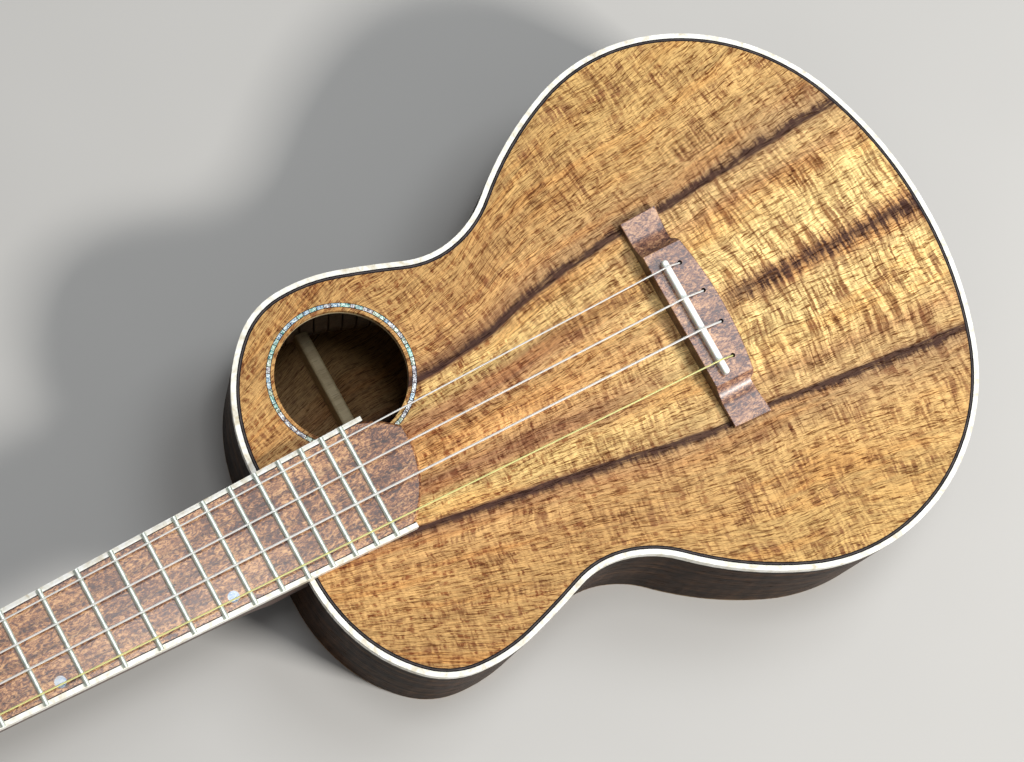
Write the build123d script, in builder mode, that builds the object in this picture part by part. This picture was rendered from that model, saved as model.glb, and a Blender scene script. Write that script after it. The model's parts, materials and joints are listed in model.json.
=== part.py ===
from build123d import *
import math
import os

os.makedirs("parts", exist_ok=True)

# A tenor ukulele lying on its back. Millimetres, +Z up, +X towards the tail, +Y towards the treble
# side. The origin is on the underside of the back, at the middle of the body's length.

# ---------------------------------------------------------------- driving dimensions
SCALE = 431.8  # nut to saddle line, 17 inches
JOIN_FRET = 14  # the neck meets the body at this fret
FRET_COUNT = 18

JOIN_X = -156.6  # front of the body, where the neck butts against it
TAIL_X = 157.0
BODY_LENGTH = TAIL_X - JOIN_X
HEEL_DEPTH = 67.5  # depth of the body at the neck, square to the top
TAIL_DEPTH = 80.0
NECK_FLAT = 24.0  # half width of the flat that the neck butts against
# half outline of the body, from shoulder to tail: places where one arc runs into the next
OUTLINE_JOINTS = [
    (-149.4, 57.0),
    (-133.9, 78.4),
    (-112.8, 87.8),
    (-86.2, 85.3),
    (-59.6, 76.6),
    (-38.4, 75.1),
    (-16.3, 86.5),
    (29.5, 115.7),
    (75.5, 120.7),
    (115.3, 102.9),
    (144.9, 63.6),
]

TOP_THICKNESS = 2.4
BACK_THICKNESS = 2.3
BACK_EDGE_ROUND = 1.2
SIDE_THICKNESS = 2.1
BINDING_WIDTH = 2.1
BINDING_HEIGHT = 5.0
LINE_WIDTH = 0.5  # each of the three lines of the purfling
PURFLING_DEPTH = 1.2
LINING_WIDTH = 5.5
LINING_HEIGHT = 13.0
NECK_BLOCK_LENGTH = 24.0
TAIL_BLOCK_LENGTH = 14.0
BLOCK_HALF = 26.0
BACK_BRACES = (-97.5, -8.0, 82.0)
TOP_BRACES = (-64.0, -4.0)
BACK_BRACE_WIDTH = 5.7
TOP_BRACE_WIDTH = 7.0
BRACE_HEIGHT = 10.0
BRACE_ROUND = 1.5
FAN_CENTRE = 92.0
FAN_LENGTH = 62.0
FAN_SPREAD = 32.0
FAN_ANGLE = 9.0
FAN_WIDTH = 5.0
FAN_HEIGHT = 6.0
BOLT_DEPTHS = (22.0, 48.0)  # neck bolts, below the top
BOLT_RADIUS = 3.0
BOLT_REACH = 11.0
BOLT_HEAD_RADIUS = 5.8
BOLT_HEAD_HEIGHT = 4.0

HOLE_X, HOLE_Y = -105.1, 44.7
HOLE_RADIUS = 27.6
SHELL_INNER, SHELL_OUTER = 29.25, 30.75
ROSETTE_LINE = 0.25
ROSETTE_DEPTH = 1.0
PATCH_RADIUS = 31.4
PATCH_THICKNESS = 1.5

NUT_WIDTH = 35.3
JOIN_WIDTH = 48.4
BOARD_THICKNESS = 5.2
BOARD_TREBLE_END = -107.6
BOARD_SCOOP_END = (-93.8, 14.1)
BOARD_BASS_END = -108.1
BOARD_BINDING = 2.0
BOARD_LINE = 0.4
BOARD_END_BEVEL = 1.0
BOARD_SCOOP_MIDDLE = (-96.2, -4.6)
BOARD_CORNER_SAG = 0.9
FRET_WIDTH = 2.3
FRET_CROWN = 1.1
FRET_TANG = 0.5
FRET_TANG_DEPTH = 1.8
FRET_END_GAP = 0.3
NUT_SETBACK = 0.3  # how far the nut's front edge stands back from the scale's zero
NUT_THICKNESS = 4.5
NUT_ROUND = 0.8
NUT_INSET = 0.2  # how far the nut's ends stop short of the fretboard's edges
NUT_HEIGHT = 7.2
DOT_RADIUS = 2.4
DOT_DEPTH = 1.2
DOT_FRETS = (5, 7, 12)
DOT_SHARE = -0.35  # sideways place of a dot as a share of the board's width there

SADDLE_X = 36.6
SADDLE_THICKNESS = 2.9
SADDLE_TOP = 10.5
SADDLE_ROUND = 0.8
SADDLE_SEAT = 3.4
SADDLE_Y = (-28.6, 26.0)
BRIDGE_FRONT = 30.1
BRIDGE_BACK = 47.8  # at the wing tips
BRIDGE_WAIST = (46.3, 34.0)  # where the wing's back edge meets the belly's shoulder
BRIDGE_SHOULDER = (48.2, 32.6)
BRIDGE_BELLY = 51.5
BRIDGE_HALF = 49.2
BRIDGE_SPLAY = 0.8
BRIDGE_HEIGHT = 7.2
WING_HEIGHT = 3.0
RAISED_HALF = 31.2  # half length of the bridge's raised middle
SCOOP_RADIUS = 12.0  # hollow ramp from the raised middle down to each wing
BRIDGE_BEVEL = 0.4
RAMP_SLOT_LENGTH = 2.6
RAMP_SLOT_DEPTH = 1.6
PLATE_THICKNESS = 1.6  # bridge plate under the top
PLATE_MARGIN = 4.0  # how far it reaches past the bridge's front and back
PLATE_INSET = 5.0  # how far it stops short of the bridge's ends
# from the bass side: letter, place across the saddle, place across the nut, string diameter, hole x
STRINGS = [
    ("g", -22.5, -13.6, 0.72, 43.4),
    ("c", -7.5, -4.5, 0.94, 46.4),
    ("e", 7.5, 4.5, 0.82, 46.4),
    ("a", 22.5, 13.6, 0.68, 43.4),
]
STRING_HOLE_RADIUS = 1.0
NUT_SLOT_BOTTOM = 6.7
NUT_SLOT_FALL = 0.9
STRING_LIFT = 0.62  # clearance that keeps a string just off its nut slot and the saddle
STRING_GAP = 0.1  # the same, beside the post
KNOT_RADIUS = 1.7
STRING_DIP = 0.6  # how far under the bridge's top a string turns down into its hole
STRING_BENDS = (0.8, 1.5, 2.0)  # radii at the hole, the saddle and the nut
SLOT_SIDE_GAP = 0.12  # on each side of a string in its slot

HEAD_ANGLE = 12.0
HEAD_LENGTH = 112.0
HEAD_ROOT_HALF = 17.6
HEAD_SHOULDER_HALF = 24.6
HEAD_CROWN_HALF = 26.4
HEAD_THICKNESS = 12.0
HEADPLATE_THICKNESS = 2.0
HEADPLATE_ROUND = 0.6
NECK_DEPTH_NUT = 13.5
NECK_DEPTH_HEEL = 16.0
HEEL_CAP_THICKNESS = 2.5
HEEL_START_X = -196.0  # where the shaft begins to curve down into the heel
HEEL_FOOT_X = -171.0
HEEL_CURVE_END = -46.0
HEEL_SHOULDER = 12.0
HEEL_FOOT_HALF = 13.0
NECK_ROUND = 11.0

# tuning machines, placed on the head: x from the nut's front edge, y from the centreline
NEAR_POST = (-33.0, 16.5)
FAR_POST = (-76.0, 15.0)
BUSHING_RADIUS = 4.0
BUSHING_FLANGE = 1.0
FLANGE_WIDTH = 1.6
POST_HOLE = 10.0
POST_HOLE_RADIUS = 0.8
POST_RADIUS = 3.0
POST_TOP = 15.0
POST_CROWN = 1.0  # height of the rounded top of a post
POST_TIP_RADIUS = 1.6
POST_SHOULDER = 0.4
WINDING_HEIGHT = 7.2
GEAR_TEETH = 14
GEAR_PITCH_RADIUS = 4.2
GEAR_ROOT = 3.45
GEAR_TIP = 4.5
GEAR_BORE = 1.8
GEAR_FACE = 1.4
GEAR_HUB_RADIUS = 2.3
GEAR_HUB_LENGTH = 1.0
TOOTH_SINK = 0.3  # how far a tooth's foot runs into the gear's body
TOOTH_ROOT_HALF = 0.36
TOOTH_TIP_HALF = 0.14
WORM_RADIUS = 2.1
WORM_THREAD = 0.6  # half the height of the thread
WORM_CLEARANCE = 0.3  # between the thread and the tuner plate
WORM_TURNS = 4
WORM_SHAFT_RADIUS = 1.25
SHAFT_STUB = 0.6  # how far the worm's shaft stands out of the inner ear
TUNER_PLATE = 1.2
PLATE_SHIFT = 2.2
PLATE_LENGTH = 26.0
PLATE_WIDTH = 12.0
EAR_WIDTH = 5.4
EAR_INSIDE = 4.5
EAR_OUTSIDE = 5.6
SCREW_RADIUS = 1.0
SCREW_LENGTH = 7.0
SCREW_HEAD_RADIUS = 1.9
SCREW_HEAD_HEIGHT = 1.0
SCREW_PLACES = (-7.6, 12.0)  # along the plate, from the post
BUTTON_START = 28.6  # from the centreline
BUTTON_REACH = 36.0
BUTTON_COLLAR = 2.4
BUTTON_COLLAR_LENGTH = 2.0
BUTTON_THICKNESS = 5.6
BUTTON_WIDTH = 11.5
BUTTON_LENGTH = 11.0
BUTTON_ROUND = 2.2
WINDING_TURNS = 3
RUNNING_CLEARANCE = 0.05

# ---------------------------------------------------------------- working frames
TAPER = math.atan((TAIL_DEPTH - HEEL_DEPTH) / BODY_LENGTH)
HEAD_SLOPE = TAPER + math.radians(HEAD_ANGLE)
WORM_PITCH = 2 * math.pi * GEAR_PITCH_RADIUS / GEAR_TEETH
WORM_OFFSET = GEAR_PITCH_RADIUS + WORM_RADIUS
EAR_REACH = TUNER_PLATE + WORM_RADIUS + WORM_THREAD + WORM_CLEARANCE
GEAR_LEVEL = -HEAD_THICKNESS - EAR_REACH
NUT_X = JOIN_X - SCALE * (1 - 2 ** (-JOIN_FRET / 12)) - NUT_SETBACK


def tilted(origin, slope):
    """A plane that rises towards the tail by a slope, with its normal up."""
    return Plane(
        origin=origin,
        x_dir=(math.cos(slope), 0, math.sin(slope)),
        z_dir=(-math.sin(slope), 0, math.cos(slope)),
    )


TOP = tilted((0, 0, (HEEL_DEPTH + TAIL_DEPTH) / 2), TAPER)  # upper face of the soundboard
MIDDLE = Plane(origin=TOP.origin, x_dir=TOP.x_dir, z_dir=(0, -1, 0))  # upright, on the centreline
HEAD = tilted(TOP.from_local_coords(Vector(NUT_X - NUT_THICKNESS, 0, 0)), HEAD_SLOPE)
HEAD_MIDDLE = Plane(origin=HEAD.origin, x_dir=HEAD.x_dir, z_dir=(0, -1, 0))
BACK_INSIDE = Plane.XY.offset(BACK_THICKNESS)
CENTRE = Plane.XZ
TOP_UP = Axis(TOP.origin, TOP.z_dir)
TOP_AXIS = Axis(TOP.origin, TOP.x_dir)
HEAD_AXIS = Axis(HEAD.origin, HEAD.z_dir)
POSTS = [(x, side * y) for x, y in (NEAR_POST, FAR_POST) for side in (-1, 1)]
POST_OF = dict(zip("gace", POSTS))
SCREWS = [(x + along, y) for x, y in POSTS for along in SCREW_PLACES]
SIDES = ("bass", "treble")
KEPT_HALF = {"bass": Keep.TOP, "treble": Keep.BOTTOM}


def across(x):
    """An upright plane across the neck or body: sketch x is sideways, sketch y is up."""
    return Plane(origin=TOP.from_local_coords(Vector(x, 0, 0)), x_dir=(0, 1, 0), z_dir=TOP.x_dir)


def fret_x(number):
    return NUT_X + SCALE * (1 - 2 ** (-number / 12))


def board_half(x):
    """Half the fretboard's width at a place along the neck."""
    return (NUT_WIDTH + (JOIN_WIDTH - NUT_WIDTH) * (x - NUT_X) / (JOIN_X - NUT_X)) / 2


def worm_point(x, y, sideways):
    """A point on the worm's axis beside the post at x, y, shifted sideways across the head."""
    return HEAD.from_local_coords(Vector(x + WORM_OFFSET, y + sideways, GEAR_LEVEL))


def facing_out(x, y, distance):
    """A plane across the worm's axis, at a distance outward from the post at x, y."""
    outward = 1 if y > 0 else -1
    return Plane(origin=worm_point(x, y, outward * distance), x_dir=HEAD.x_dir, z_dir=(0, outward, 0))


def inner_tangent(start, post, radius):
    """Where a line from a start point touches a circle about a post, on the centreline's side."""
    across_gap = start[0] - post[0], start[1] - post[1]
    heading = math.atan2(across_gap[1], across_gap[0])
    swing = math.acos(radius / math.hypot(*across_gap))
    angle = heading - swing if post[1] > 0 else heading + swing
    return post[0] + radius * math.cos(angle), post[1] + radius * math.sin(angle)


def is_neck_underside(edge):
    """True for the long lower edges of the shaft and heel, which are rounded for the hand."""
    place = TOP.to_local_coords(edge.center())
    on_side = 9 < abs(place.Y) < 23.5 and place.X < JOIN_X - 3
    return on_side and 1 - TAIL_DEPTH < place.Z < 0.5 - NECK_DEPTH_NUT


def is_bridge_rim(edge):
    """True for the upper edges of the bridge's outline, and not those across its top."""
    start = TOP.to_local_coords(edge.start_point())
    end = TOP.to_local_coords(edge.end_point())
    crosses = abs(start.Y - end.Y) < 0.1 and abs(start.Y) > 1 and abs(start.Y) < BRIDGE_HALF - 1
    return min(start.Z, end.Z) > WING_HEIGHT - 0.1 and not crosses


def is_board_end(edge):
    """True for the edges of the fretboard's free end, past the soundboard's edge."""
    return TOP.to_local_coords(edge.center()).X > BOARD_BASS_END - 1


# ---------------------------------------------------------------- shared outlines
def inset_joints(amount):
    """Where the outline's arcs meet, on the treble half, drawn in by an amount."""
    place = Vector(JOIN_X, NECK_FLAT)
    along = Vector(0, 1)
    joints = [(place.X + amount, place.Y)]
    for target in OUTLINE_JOINTS:
        arc = TangentArc(place, Vector(*target), tangent=along)
        place = arc @ 1
        along = arc % 1
        joints.append((place.X + amount * along.Y, place.Y - amount * along.X))
    joints.append((TAIL_X - amount, 0))
    return joints


def loop(amount):
    """The whole outline of the body, drawn in by an amount."""
    joints = inset_joints(amount)
    along = Vector(0, 1)
    with BuildLine() as line:
        Line((JOIN_X + amount, 0), joints[0])
        for start, end in zip(joints, joints[1:]):
            arc = TangentArc(start, end, tangent=along)
            along = arc % 1
        mirror(about=Plane.XZ)
    return line.wire()


def plate(amount):
    """The body's outline as a face, drawn in by an amount."""
    return Face(loop(amount))


def band(outer, inner):
    """A band that follows the body's outline between two amounts of inset."""
    return Face(loop(outer), [loop(inner)])


def block_ends():
    """Rectangles that cover the neck block and tail block, to cut the linings back to them."""
    with BuildSketch() as shape:
        with Locations((JOIN_X, 0)):
            Rectangle(2 * (SIDE_THICKNESS + NECK_BLOCK_LENGTH), 2 * BLOCK_HALF)
        with Locations((TAIL_X, 0)):
            Rectangle(2 * (SIDE_THICKNESS + TAIL_BLOCK_LENGTH), 2 * BLOCK_HALF)
    return shape.sketch


with BuildSketch() as head_shape:
    with BuildLine():
        Line((0, 0), (0, HEAD_ROOT_HALF))
        root = TangentArc((0, HEAD_ROOT_HALF), (-10, 21.1), tangent=(-1, 0))
        shoulder = TangentArc(root @ 1, (-20, HEAD_SHOULDER_HALF), tangent=root % 1)
        flank = Line(shoulder @ 1, (-94, HEAD_CROWN_HALF))
        corner = TangentArc(flank @ 1, (-105, 19.5), tangent=flank % 1)
        ThreePointArc(corner @ 1, (1.8 - HEAD_LENGTH, 10), (-HEAD_LENGTH, 0))
        mirror(about=Plane.XZ)
    make_face()
HEAD_OUTLINE = head_shape.sketch


DOTS = []
for fret in DOT_FRETS:
    middle = (fret_x(fret - 1) + fret_x(fret)) / 2
    DOTS.append((middle, DOT_SHARE * 2 * board_half(middle)))


def board_strip(outer, inner, end):
    """A strip along the fretboard's treble edge, between two distances in from that edge."""
    with BuildSketch() as shape:
        Polygon(
            (NUT_X, board_half(NUT_X) - inner),
            (NUT_X, board_half(NUT_X) - outer),
            (end, board_half(end) - outer),
            (end, board_half(end) - inner),
            align=None,
        )
    return shape.sketch


def board_outline(inner):
    """The fretboard's outline, drawn in on both long sides by an amount."""
    nut_half = board_half(NUT_X) - inner
    treble_half = board_half(BOARD_TREBLE_END) - inner
    bass_half = board_half(BOARD_BASS_END) - inner
    with BuildSketch() as shape:
        with BuildLine():
            Line((NUT_X, -nut_half), (NUT_X, nut_half))
            Line((NUT_X, nut_half), (BOARD_TREBLE_END, treble_half))
            SagittaArc((BOARD_TREBLE_END, treble_half), BOARD_SCOOP_END, BOARD_CORNER_SAG)
            ThreePointArc(BOARD_SCOOP_END, BOARD_SCOOP_MIDDLE, (BOARD_BASS_END, -bass_half))
            Line((BOARD_BASS_END, -bass_half), (NUT_X, -nut_half))
        make_face()
    return shape.sketch


# ---------------------------------------------------------------- soundboard
PURFLING_WIDTH = 3 * LINE_WIDTH
for side in SIDES:
    with BuildPart() as board:
        with BuildSketch(TOP):
            add(plate(BINDING_WIDTH + PURFLING_WIDTH))
        extrude(amount=-PURFLING_DEPTH)
        with BuildSketch(TOP.offset(-PURFLING_DEPTH)):
            add(plate(BINDING_WIDTH))
        extrude(amount=PURFLING_DEPTH - TOP_THICKNESS)
        with BuildSketch(TOP):
            with Locations((HOLE_X, HOLE_Y)):
                Circle(SHELL_OUTER + ROSETTE_LINE)
                Circle(SHELL_INNER - ROSETTE_LINE, mode=Mode.SUBTRACT)
        extrude(amount=-ROSETTE_DEPTH, mode=Mode.SUBTRACT)
        with BuildSketch(TOP):
            with Locations((HOLE_X, HOLE_Y)):
                Circle(HOLE_RADIUS)
            with Locations([(hole, y) for _, y, _, _, hole in STRINGS]):
                Circle(STRING_HOLE_RADIUS)
        extrude(amount=-TOP_THICKNESS, mode=Mode.SUBTRACT)
        split(bisect_by=CENTRE, keep=KEPT_HALF[side])
    board.part.label = f"soundboard_{side}"
    export_step(board.part, f"parts/soundboard_{side}.step")

# ---------------------------------------------------------------- edge trim of the top
with BuildPart() as top_binding:
    with BuildSketch(TOP):
        add(band(0, BINDING_WIDTH))
    extrude(amount=-BINDING_HEIGHT)
    split(bisect_by=CENTRE, keep=Keep.BOTH)
top_binding.part.label = "top_binding"
export_step(top_binding.part, "parts/top_binding.step")

with BuildPart() as purfling_black:
    with BuildSketch(TOP):
        add(band(BINDING_WIDTH, BINDING_WIDTH + LINE_WIDTH))
    extrude(amount=-PURFLING_DEPTH)
    with BuildSketch(TOP):
        add(band(BINDING_WIDTH + 2 * LINE_WIDTH, BINDING_WIDTH + PURFLING_WIDTH))
    extrude(amount=-PURFLING_DEPTH)
purfling_black.part.label = "purfling_black"
export_step(purfling_black.part, "parts/purfling_black.step")

with BuildPart() as purfling_grey:
    with BuildSketch(TOP):
        add(band(BINDING_WIDTH + LINE_WIDTH, BINDING_WIDTH + 2 * LINE_WIDTH))
    extrude(amount=-PURFLING_DEPTH)
purfling_grey.part.label = "purfling_grey"
export_step(purfling_grey.part, "parts/purfling_grey.step")

# ---------------------------------------------------------------- sides, back and linings
for side in SIDES:
    with BuildPart() as rib:
        with BuildSketch(TOP.offset(-BINDING_HEIGHT)):
            add(band(0, SIDE_THICKNESS))
        extrude(amount=-TAIL_DEPTH)
        with BuildSketch(across(JOIN_X)):
            with Locations([(0, -depth) for depth in BOLT_DEPTHS]):
                Circle(BOLT_RADIUS)
        extrude(amount=SIDE_THICKNESS, mode=Mode.SUBTRACT)
        split(bisect_by=BACK_INSIDE, keep=Keep.TOP)
        split(bisect_by=CENTRE, keep=KEPT_HALF[side])
    rib.part.label = f"side_{side}"
    export_step(rib.part, f"parts/side_{side}.step")

    with BuildPart() as back:
        with BuildSketch(TOP):
            add(plate(0))
        extrude(amount=-TAIL_DEPTH - BACK_THICKNESS)
        split(bisect_by=BACK_INSIDE, keep=Keep.BOTTOM)
        split(bisect_by=Plane.XY, keep=Keep.TOP)
        fillet(back.faces().sort_by(Axis.Z)[0].outer_wire().edges(), BACK_EDGE_ROUND)
        split(bisect_by=CENTRE, keep=KEPT_HALF[side])
    back.part.label = f"back_{side}"
    export_step(back.part, f"parts/back_{side}.step")

with BuildPart() as top_linings:
    with BuildSketch(TOP.offset(-TOP_THICKNESS)):
        add(band(SIDE_THICKNESS, SIDE_THICKNESS + LINING_WIDTH))
    extrude(amount=-LINING_HEIGHT)
    with BuildSketch(TOP):
        add(block_ends())
    extrude(amount=-TAIL_DEPTH, mode=Mode.SUBTRACT)
top_linings.part.label = "top_linings"
export_step(top_linings.part, "parts/top_linings.step")

with BuildPart() as back_linings:
    with BuildSketch(TOP):
        add(band(SIDE_THICKNESS, SIDE_THICKNESS + LINING_WIDTH))
    extrude(amount=-TAIL_DEPTH)
    split(bisect_by=BACK_INSIDE, keep=Keep.TOP)
    split(bisect_by=BACK_INSIDE.offset(LINING_HEIGHT), keep=Keep.BOTTOM)
    with BuildSketch(TOP):
        add(block_ends())
    extrude(amount=-TAIL_DEPTH, mode=Mode.SUBTRACT)
back_linings.part.label = "back_linings"
export_step(back_linings.part, "parts/back_linings.step")

# ---------------------------------------------------------------- blocks inside the body
with BuildPart() as neck_block:
    with BuildSketch(TOP.offset(-TOP_THICKNESS)):
        add(plate(SIDE_THICKNESS))
        with Locations((JOIN_X, 0)):
            Rectangle(2 * (SIDE_THICKNESS + NECK_BLOCK_LENGTH), 2 * BLOCK_HALF, mode=Mode.INTERSECT)
    extrude(amount=-TAIL_DEPTH)
    split(bisect_by=BACK_INSIDE, keep=Keep.TOP)
    with BuildSketch(across(JOIN_X)):
        with Locations([(0, -depth) for depth in BOLT_DEPTHS]):
            Circle(BOLT_RADIUS)
    extrude(amount=2 * NECK_BLOCK_LENGTH, mode=Mode.SUBTRACT)
neck_block.part.label = "neck_block"
export_step(neck_block.part, "parts/neck_block.step")

with BuildPart() as tail_block:
    with BuildSketch(TOP.offset(-TOP_THICKNESS)):
        add(plate(SIDE_THICKNESS))
        with Locations((TAIL_X, 0)):
            Rectangle(2 * (SIDE_THICKNESS + TAIL_BLOCK_LENGTH), 2 * BLOCK_HALF, mode=Mode.INTERSECT)
    extrude(amount=-2 * TAIL_DEPTH)
    split(bisect_by=BACK_INSIDE, keep=Keep.TOP)
tail_block.part.label = "tail_block"
export_step(tail_block.part, "parts/tail_block.step")

# ---------------------------------------------------------------- braces
with BuildPart() as back_braces:
    for place in BACK_BRACES:
        with BuildSketch(Plane.XZ):
            with Locations((place, BACK_THICKNESS)):
                Rectangle(BACK_BRACE_WIDTH, BRACE_HEIGHT, align=(Align.CENTER, Align.MIN))
        extrude(amount=BODY_LENGTH / 2, both=True)
    crest = back_braces.edges().filter_by(Axis.Y).group_by(Axis.Z)[-1]
    fillet(crest, BRACE_ROUND)
    with BuildSketch(TOP):
        add(plate(SIDE_THICKNESS + LINING_WIDTH))
    extrude(amount=-2 * TAIL_DEPTH, mode=Mode.INTERSECT)
back_braces.part.label = "back_braces"
export_step(back_braces.part, "parts/back_braces.step")

with BuildPart() as top_braces:
    for place in TOP_BRACES:
        with BuildSketch(MIDDLE):
            with Locations((place, -TOP_THICKNESS)):
                Rectangle(TOP_BRACE_WIDTH, BRACE_HEIGHT, align=(Align.CENTER, Align.MAX))
        extrude(amount=BODY_LENGTH / 2, both=True)
    crest = top_braces.edges().filter_by(Axis.Y).group_by(Axis.Z)[0]
    fillet(crest, BRACE_ROUND)
    with BuildSketch(TOP):
        add(plate(SIDE_THICKNESS + LINING_WIDTH))
    extrude(amount=-TAIL_DEPTH, mode=Mode.INTERSECT)
top_braces.part.label = "top_braces"
export_step(top_braces.part, "parts/top_braces.step")

with BuildPart() as fan_braces:
    with BuildSketch(TOP.offset(-TOP_THICKNESS)):
        for turn in (-FAN_ANGLE, 0, FAN_ANGLE):
            with Locations((FAN_CENTRE, FAN_SPREAD * turn / FAN_ANGLE)):
                Rectangle(FAN_LENGTH, FAN_WIDTH, rotation=turn)
    extrude(amount=-FAN_HEIGHT)
fan_braces.part.label = "fan_braces"
export_step(fan_braces.part, "parts/fan_braces.step")

with BuildPart() as bridge_plate:
    with BuildSketch(TOP.offset(-TOP_THICKNESS)):
        with Locations(((BRIDGE_FRONT + BRIDGE_BELLY) / 2, 0)):
            Rectangle(BRIDGE_BELLY - BRIDGE_FRONT + 2 * PLATE_MARGIN, 2 * (BRIDGE_HALF - PLATE_INSET))
        with Locations([(hole, y) for _, y, _, _, hole in STRINGS]):
            Circle(STRING_HOLE_RADIUS, mode=Mode.SUBTRACT)
    extrude(amount=-PLATE_THICKNESS)
bridge_plate.part.label = "bridge_plate"
export_step(bridge_plate.part, "parts/bridge_plate.step")

# ---------------------------------------------------------------- soundhole
with BuildPart() as soundhole_patch:
    with BuildSketch(TOP.offset(-TOP_THICKNESS)):
        with Locations((HOLE_X, HOLE_Y)):
            Circle(PATCH_RADIUS)
            Circle(HOLE_RADIUS, mode=Mode.SUBTRACT)
    extrude(amount=-PATCH_THICKNESS)
soundhole_patch.part.label = "soundhole_patch"
export_step(soundhole_patch.part, "parts/soundhole_patch.step")

with BuildPart() as rosette_shell:
    with BuildSketch(TOP):
        with Locations((HOLE_X, HOLE_Y)):
            Circle(SHELL_OUTER)
            Circle(SHELL_INNER, mode=Mode.SUBTRACT)
    extrude(amount=-ROSETTE_DEPTH)
rosette_shell.part.label = "rosette_shell"
export_step(rosette_shell.part, "parts/rosette_shell.step")

with BuildPart() as rosette_lines:
    with BuildSketch(TOP):
        with Locations((HOLE_X, HOLE_Y)):
            Circle(SHELL_OUTER + ROSETTE_LINE)
            Circle(SHELL_OUTER, mode=Mode.SUBTRACT)
    extrude(amount=-ROSETTE_DEPTH)
    with BuildSketch(TOP):
        with Locations((HOLE_X, HOLE_Y)):
            Circle(SHELL_INNER)
            Circle(SHELL_INNER - ROSETTE_LINE, mode=Mode.SUBTRACT)
    extrude(amount=-ROSETTE_DEPTH)
rosette_lines.part.label = "rosette_lines"
export_step(rosette_lines.part, "parts/rosette_lines.step")

# ---------------------------------------------------------------- neck and head
with BuildPart() as neck:
    with BuildSketch(MIDDLE):
        with BuildLine():
            nut_end = NUT_X - NUT_THICKNESS
            Polyline((HEEL_FOOT_X, -TAIL_DEPTH), (JOIN_X, -TAIL_DEPTH), (JOIN_X, 0), (nut_end, 0))
            Line((nut_end, 0), (nut_end, -NECK_DEPTH_NUT))
            shaft = Line((nut_end, -NECK_DEPTH_NUT), (HEEL_START_X, -NECK_DEPTH_HEEL))
            curve = TangentArc(shaft @ 1, (HEEL_FOOT_X, HEEL_CURVE_END), tangent=shaft % 1)
            Line(curve @ 1, (HEEL_FOOT_X, -TAIL_DEPTH))
        make_face()
    extrude(amount=JOIN_WIDTH, both=True)
    with BuildSketch(TOP):
        Polygon(
            (nut_end, -board_half(nut_end)),
            (JOIN_X, -board_half(JOIN_X)),
            (JOIN_X, board_half(JOIN_X)),
            (nut_end, board_half(nut_end)),
            align=None,
        )
    extrude(amount=-TAIL_DEPTH, mode=Mode.INTERSECT)
    with BuildSketch(across(nut_end)):
        Polygon(
            (-JOIN_WIDTH / 2, 0),
            (-JOIN_WIDTH / 2, -HEEL_SHOULDER),
            (-HEEL_FOOT_HALF, -TAIL_DEPTH),
            (HEEL_FOOT_HALF, -TAIL_DEPTH),
            (JOIN_WIDTH / 2, -HEEL_SHOULDER),
            (JOIN_WIDTH / 2, 0),
            align=None,
        )
    extrude(amount=JOIN_X - nut_end, mode=Mode.INTERSECT)
    underside = neck.edges().filter_by(is_neck_underside)
    fillet(underside, NECK_ROUND)
    split(bisect_by=Plane.XY.offset(HEEL_CAP_THICKNESS), keep=Keep.TOP)
    with BuildSketch(HEAD):
        add(HEAD_OUTLINE)
    extrude(amount=-HEAD_THICKNESS)
    with BuildSketch(HEAD):
        with Locations(POSTS):
            Circle(BUSHING_RADIUS)
    extrude(amount=-HEAD_THICKNESS, mode=Mode.SUBTRACT)
    with BuildSketch(HEAD.offset(-HEAD_THICKNESS)):
        with Locations(SCREWS):
            Circle(SCREW_RADIUS)
    extrude(amount=SCREW_LENGTH, mode=Mode.SUBTRACT)
    with BuildSketch(across(JOIN_X)):
        with Locations([(0, -depth) for depth in BOLT_DEPTHS]):
            Circle(BOLT_RADIUS)
    extrude(amount=-BOLT_REACH, mode=Mode.SUBTRACT)
neck.part.label = "neck"
export_step(neck.part, "parts/neck.step")

with BuildPart() as heel_cap:
    extrude(neck.faces().sort_by(Axis.Z)[0], amount=HEEL_CAP_THICKNESS)
heel_cap.part.label = "heel_cap"
export_step(heel_cap.part, "parts/heel_cap.step")

with BuildPart() as headplate:
    with BuildSketch(HEAD):
        add(HEAD_OUTLINE)
        with Locations(POSTS):
            Circle(BUSHING_RADIUS, mode=Mode.SUBTRACT)
    extrude(amount=HEADPLATE_THICKNESS)
    rim = headplate.faces().sort_by(HEAD_AXIS)[-1].outer_wire().edges().sort_by(TOP_AXIS)[:-1]
    fillet(rim, HEADPLATE_ROUND)
headplate.part.label = "headplate"
export_step(headplate.part, "parts/headplate.step")

with BuildPart() as neck_bolts:
    for depth in BOLT_DEPTHS:
        with BuildSketch(across(JOIN_X - BOLT_REACH)):
            with Locations((0, -depth)):
                Circle(BOLT_RADIUS)
        extrude(amount=BOLT_REACH + SIDE_THICKNESS + NECK_BLOCK_LENGTH)
        with BuildSketch(across(JOIN_X + SIDE_THICKNESS + NECK_BLOCK_LENGTH)):
            with Locations((0, -depth)):
                RegularPolygon(BOLT_HEAD_RADIUS, 6)
        extrude(amount=BOLT_HEAD_HEIGHT)
neck_bolts.part.label = "neck_bolts"
export_step(neck_bolts.part, "parts/neck_bolts.step")

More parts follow.
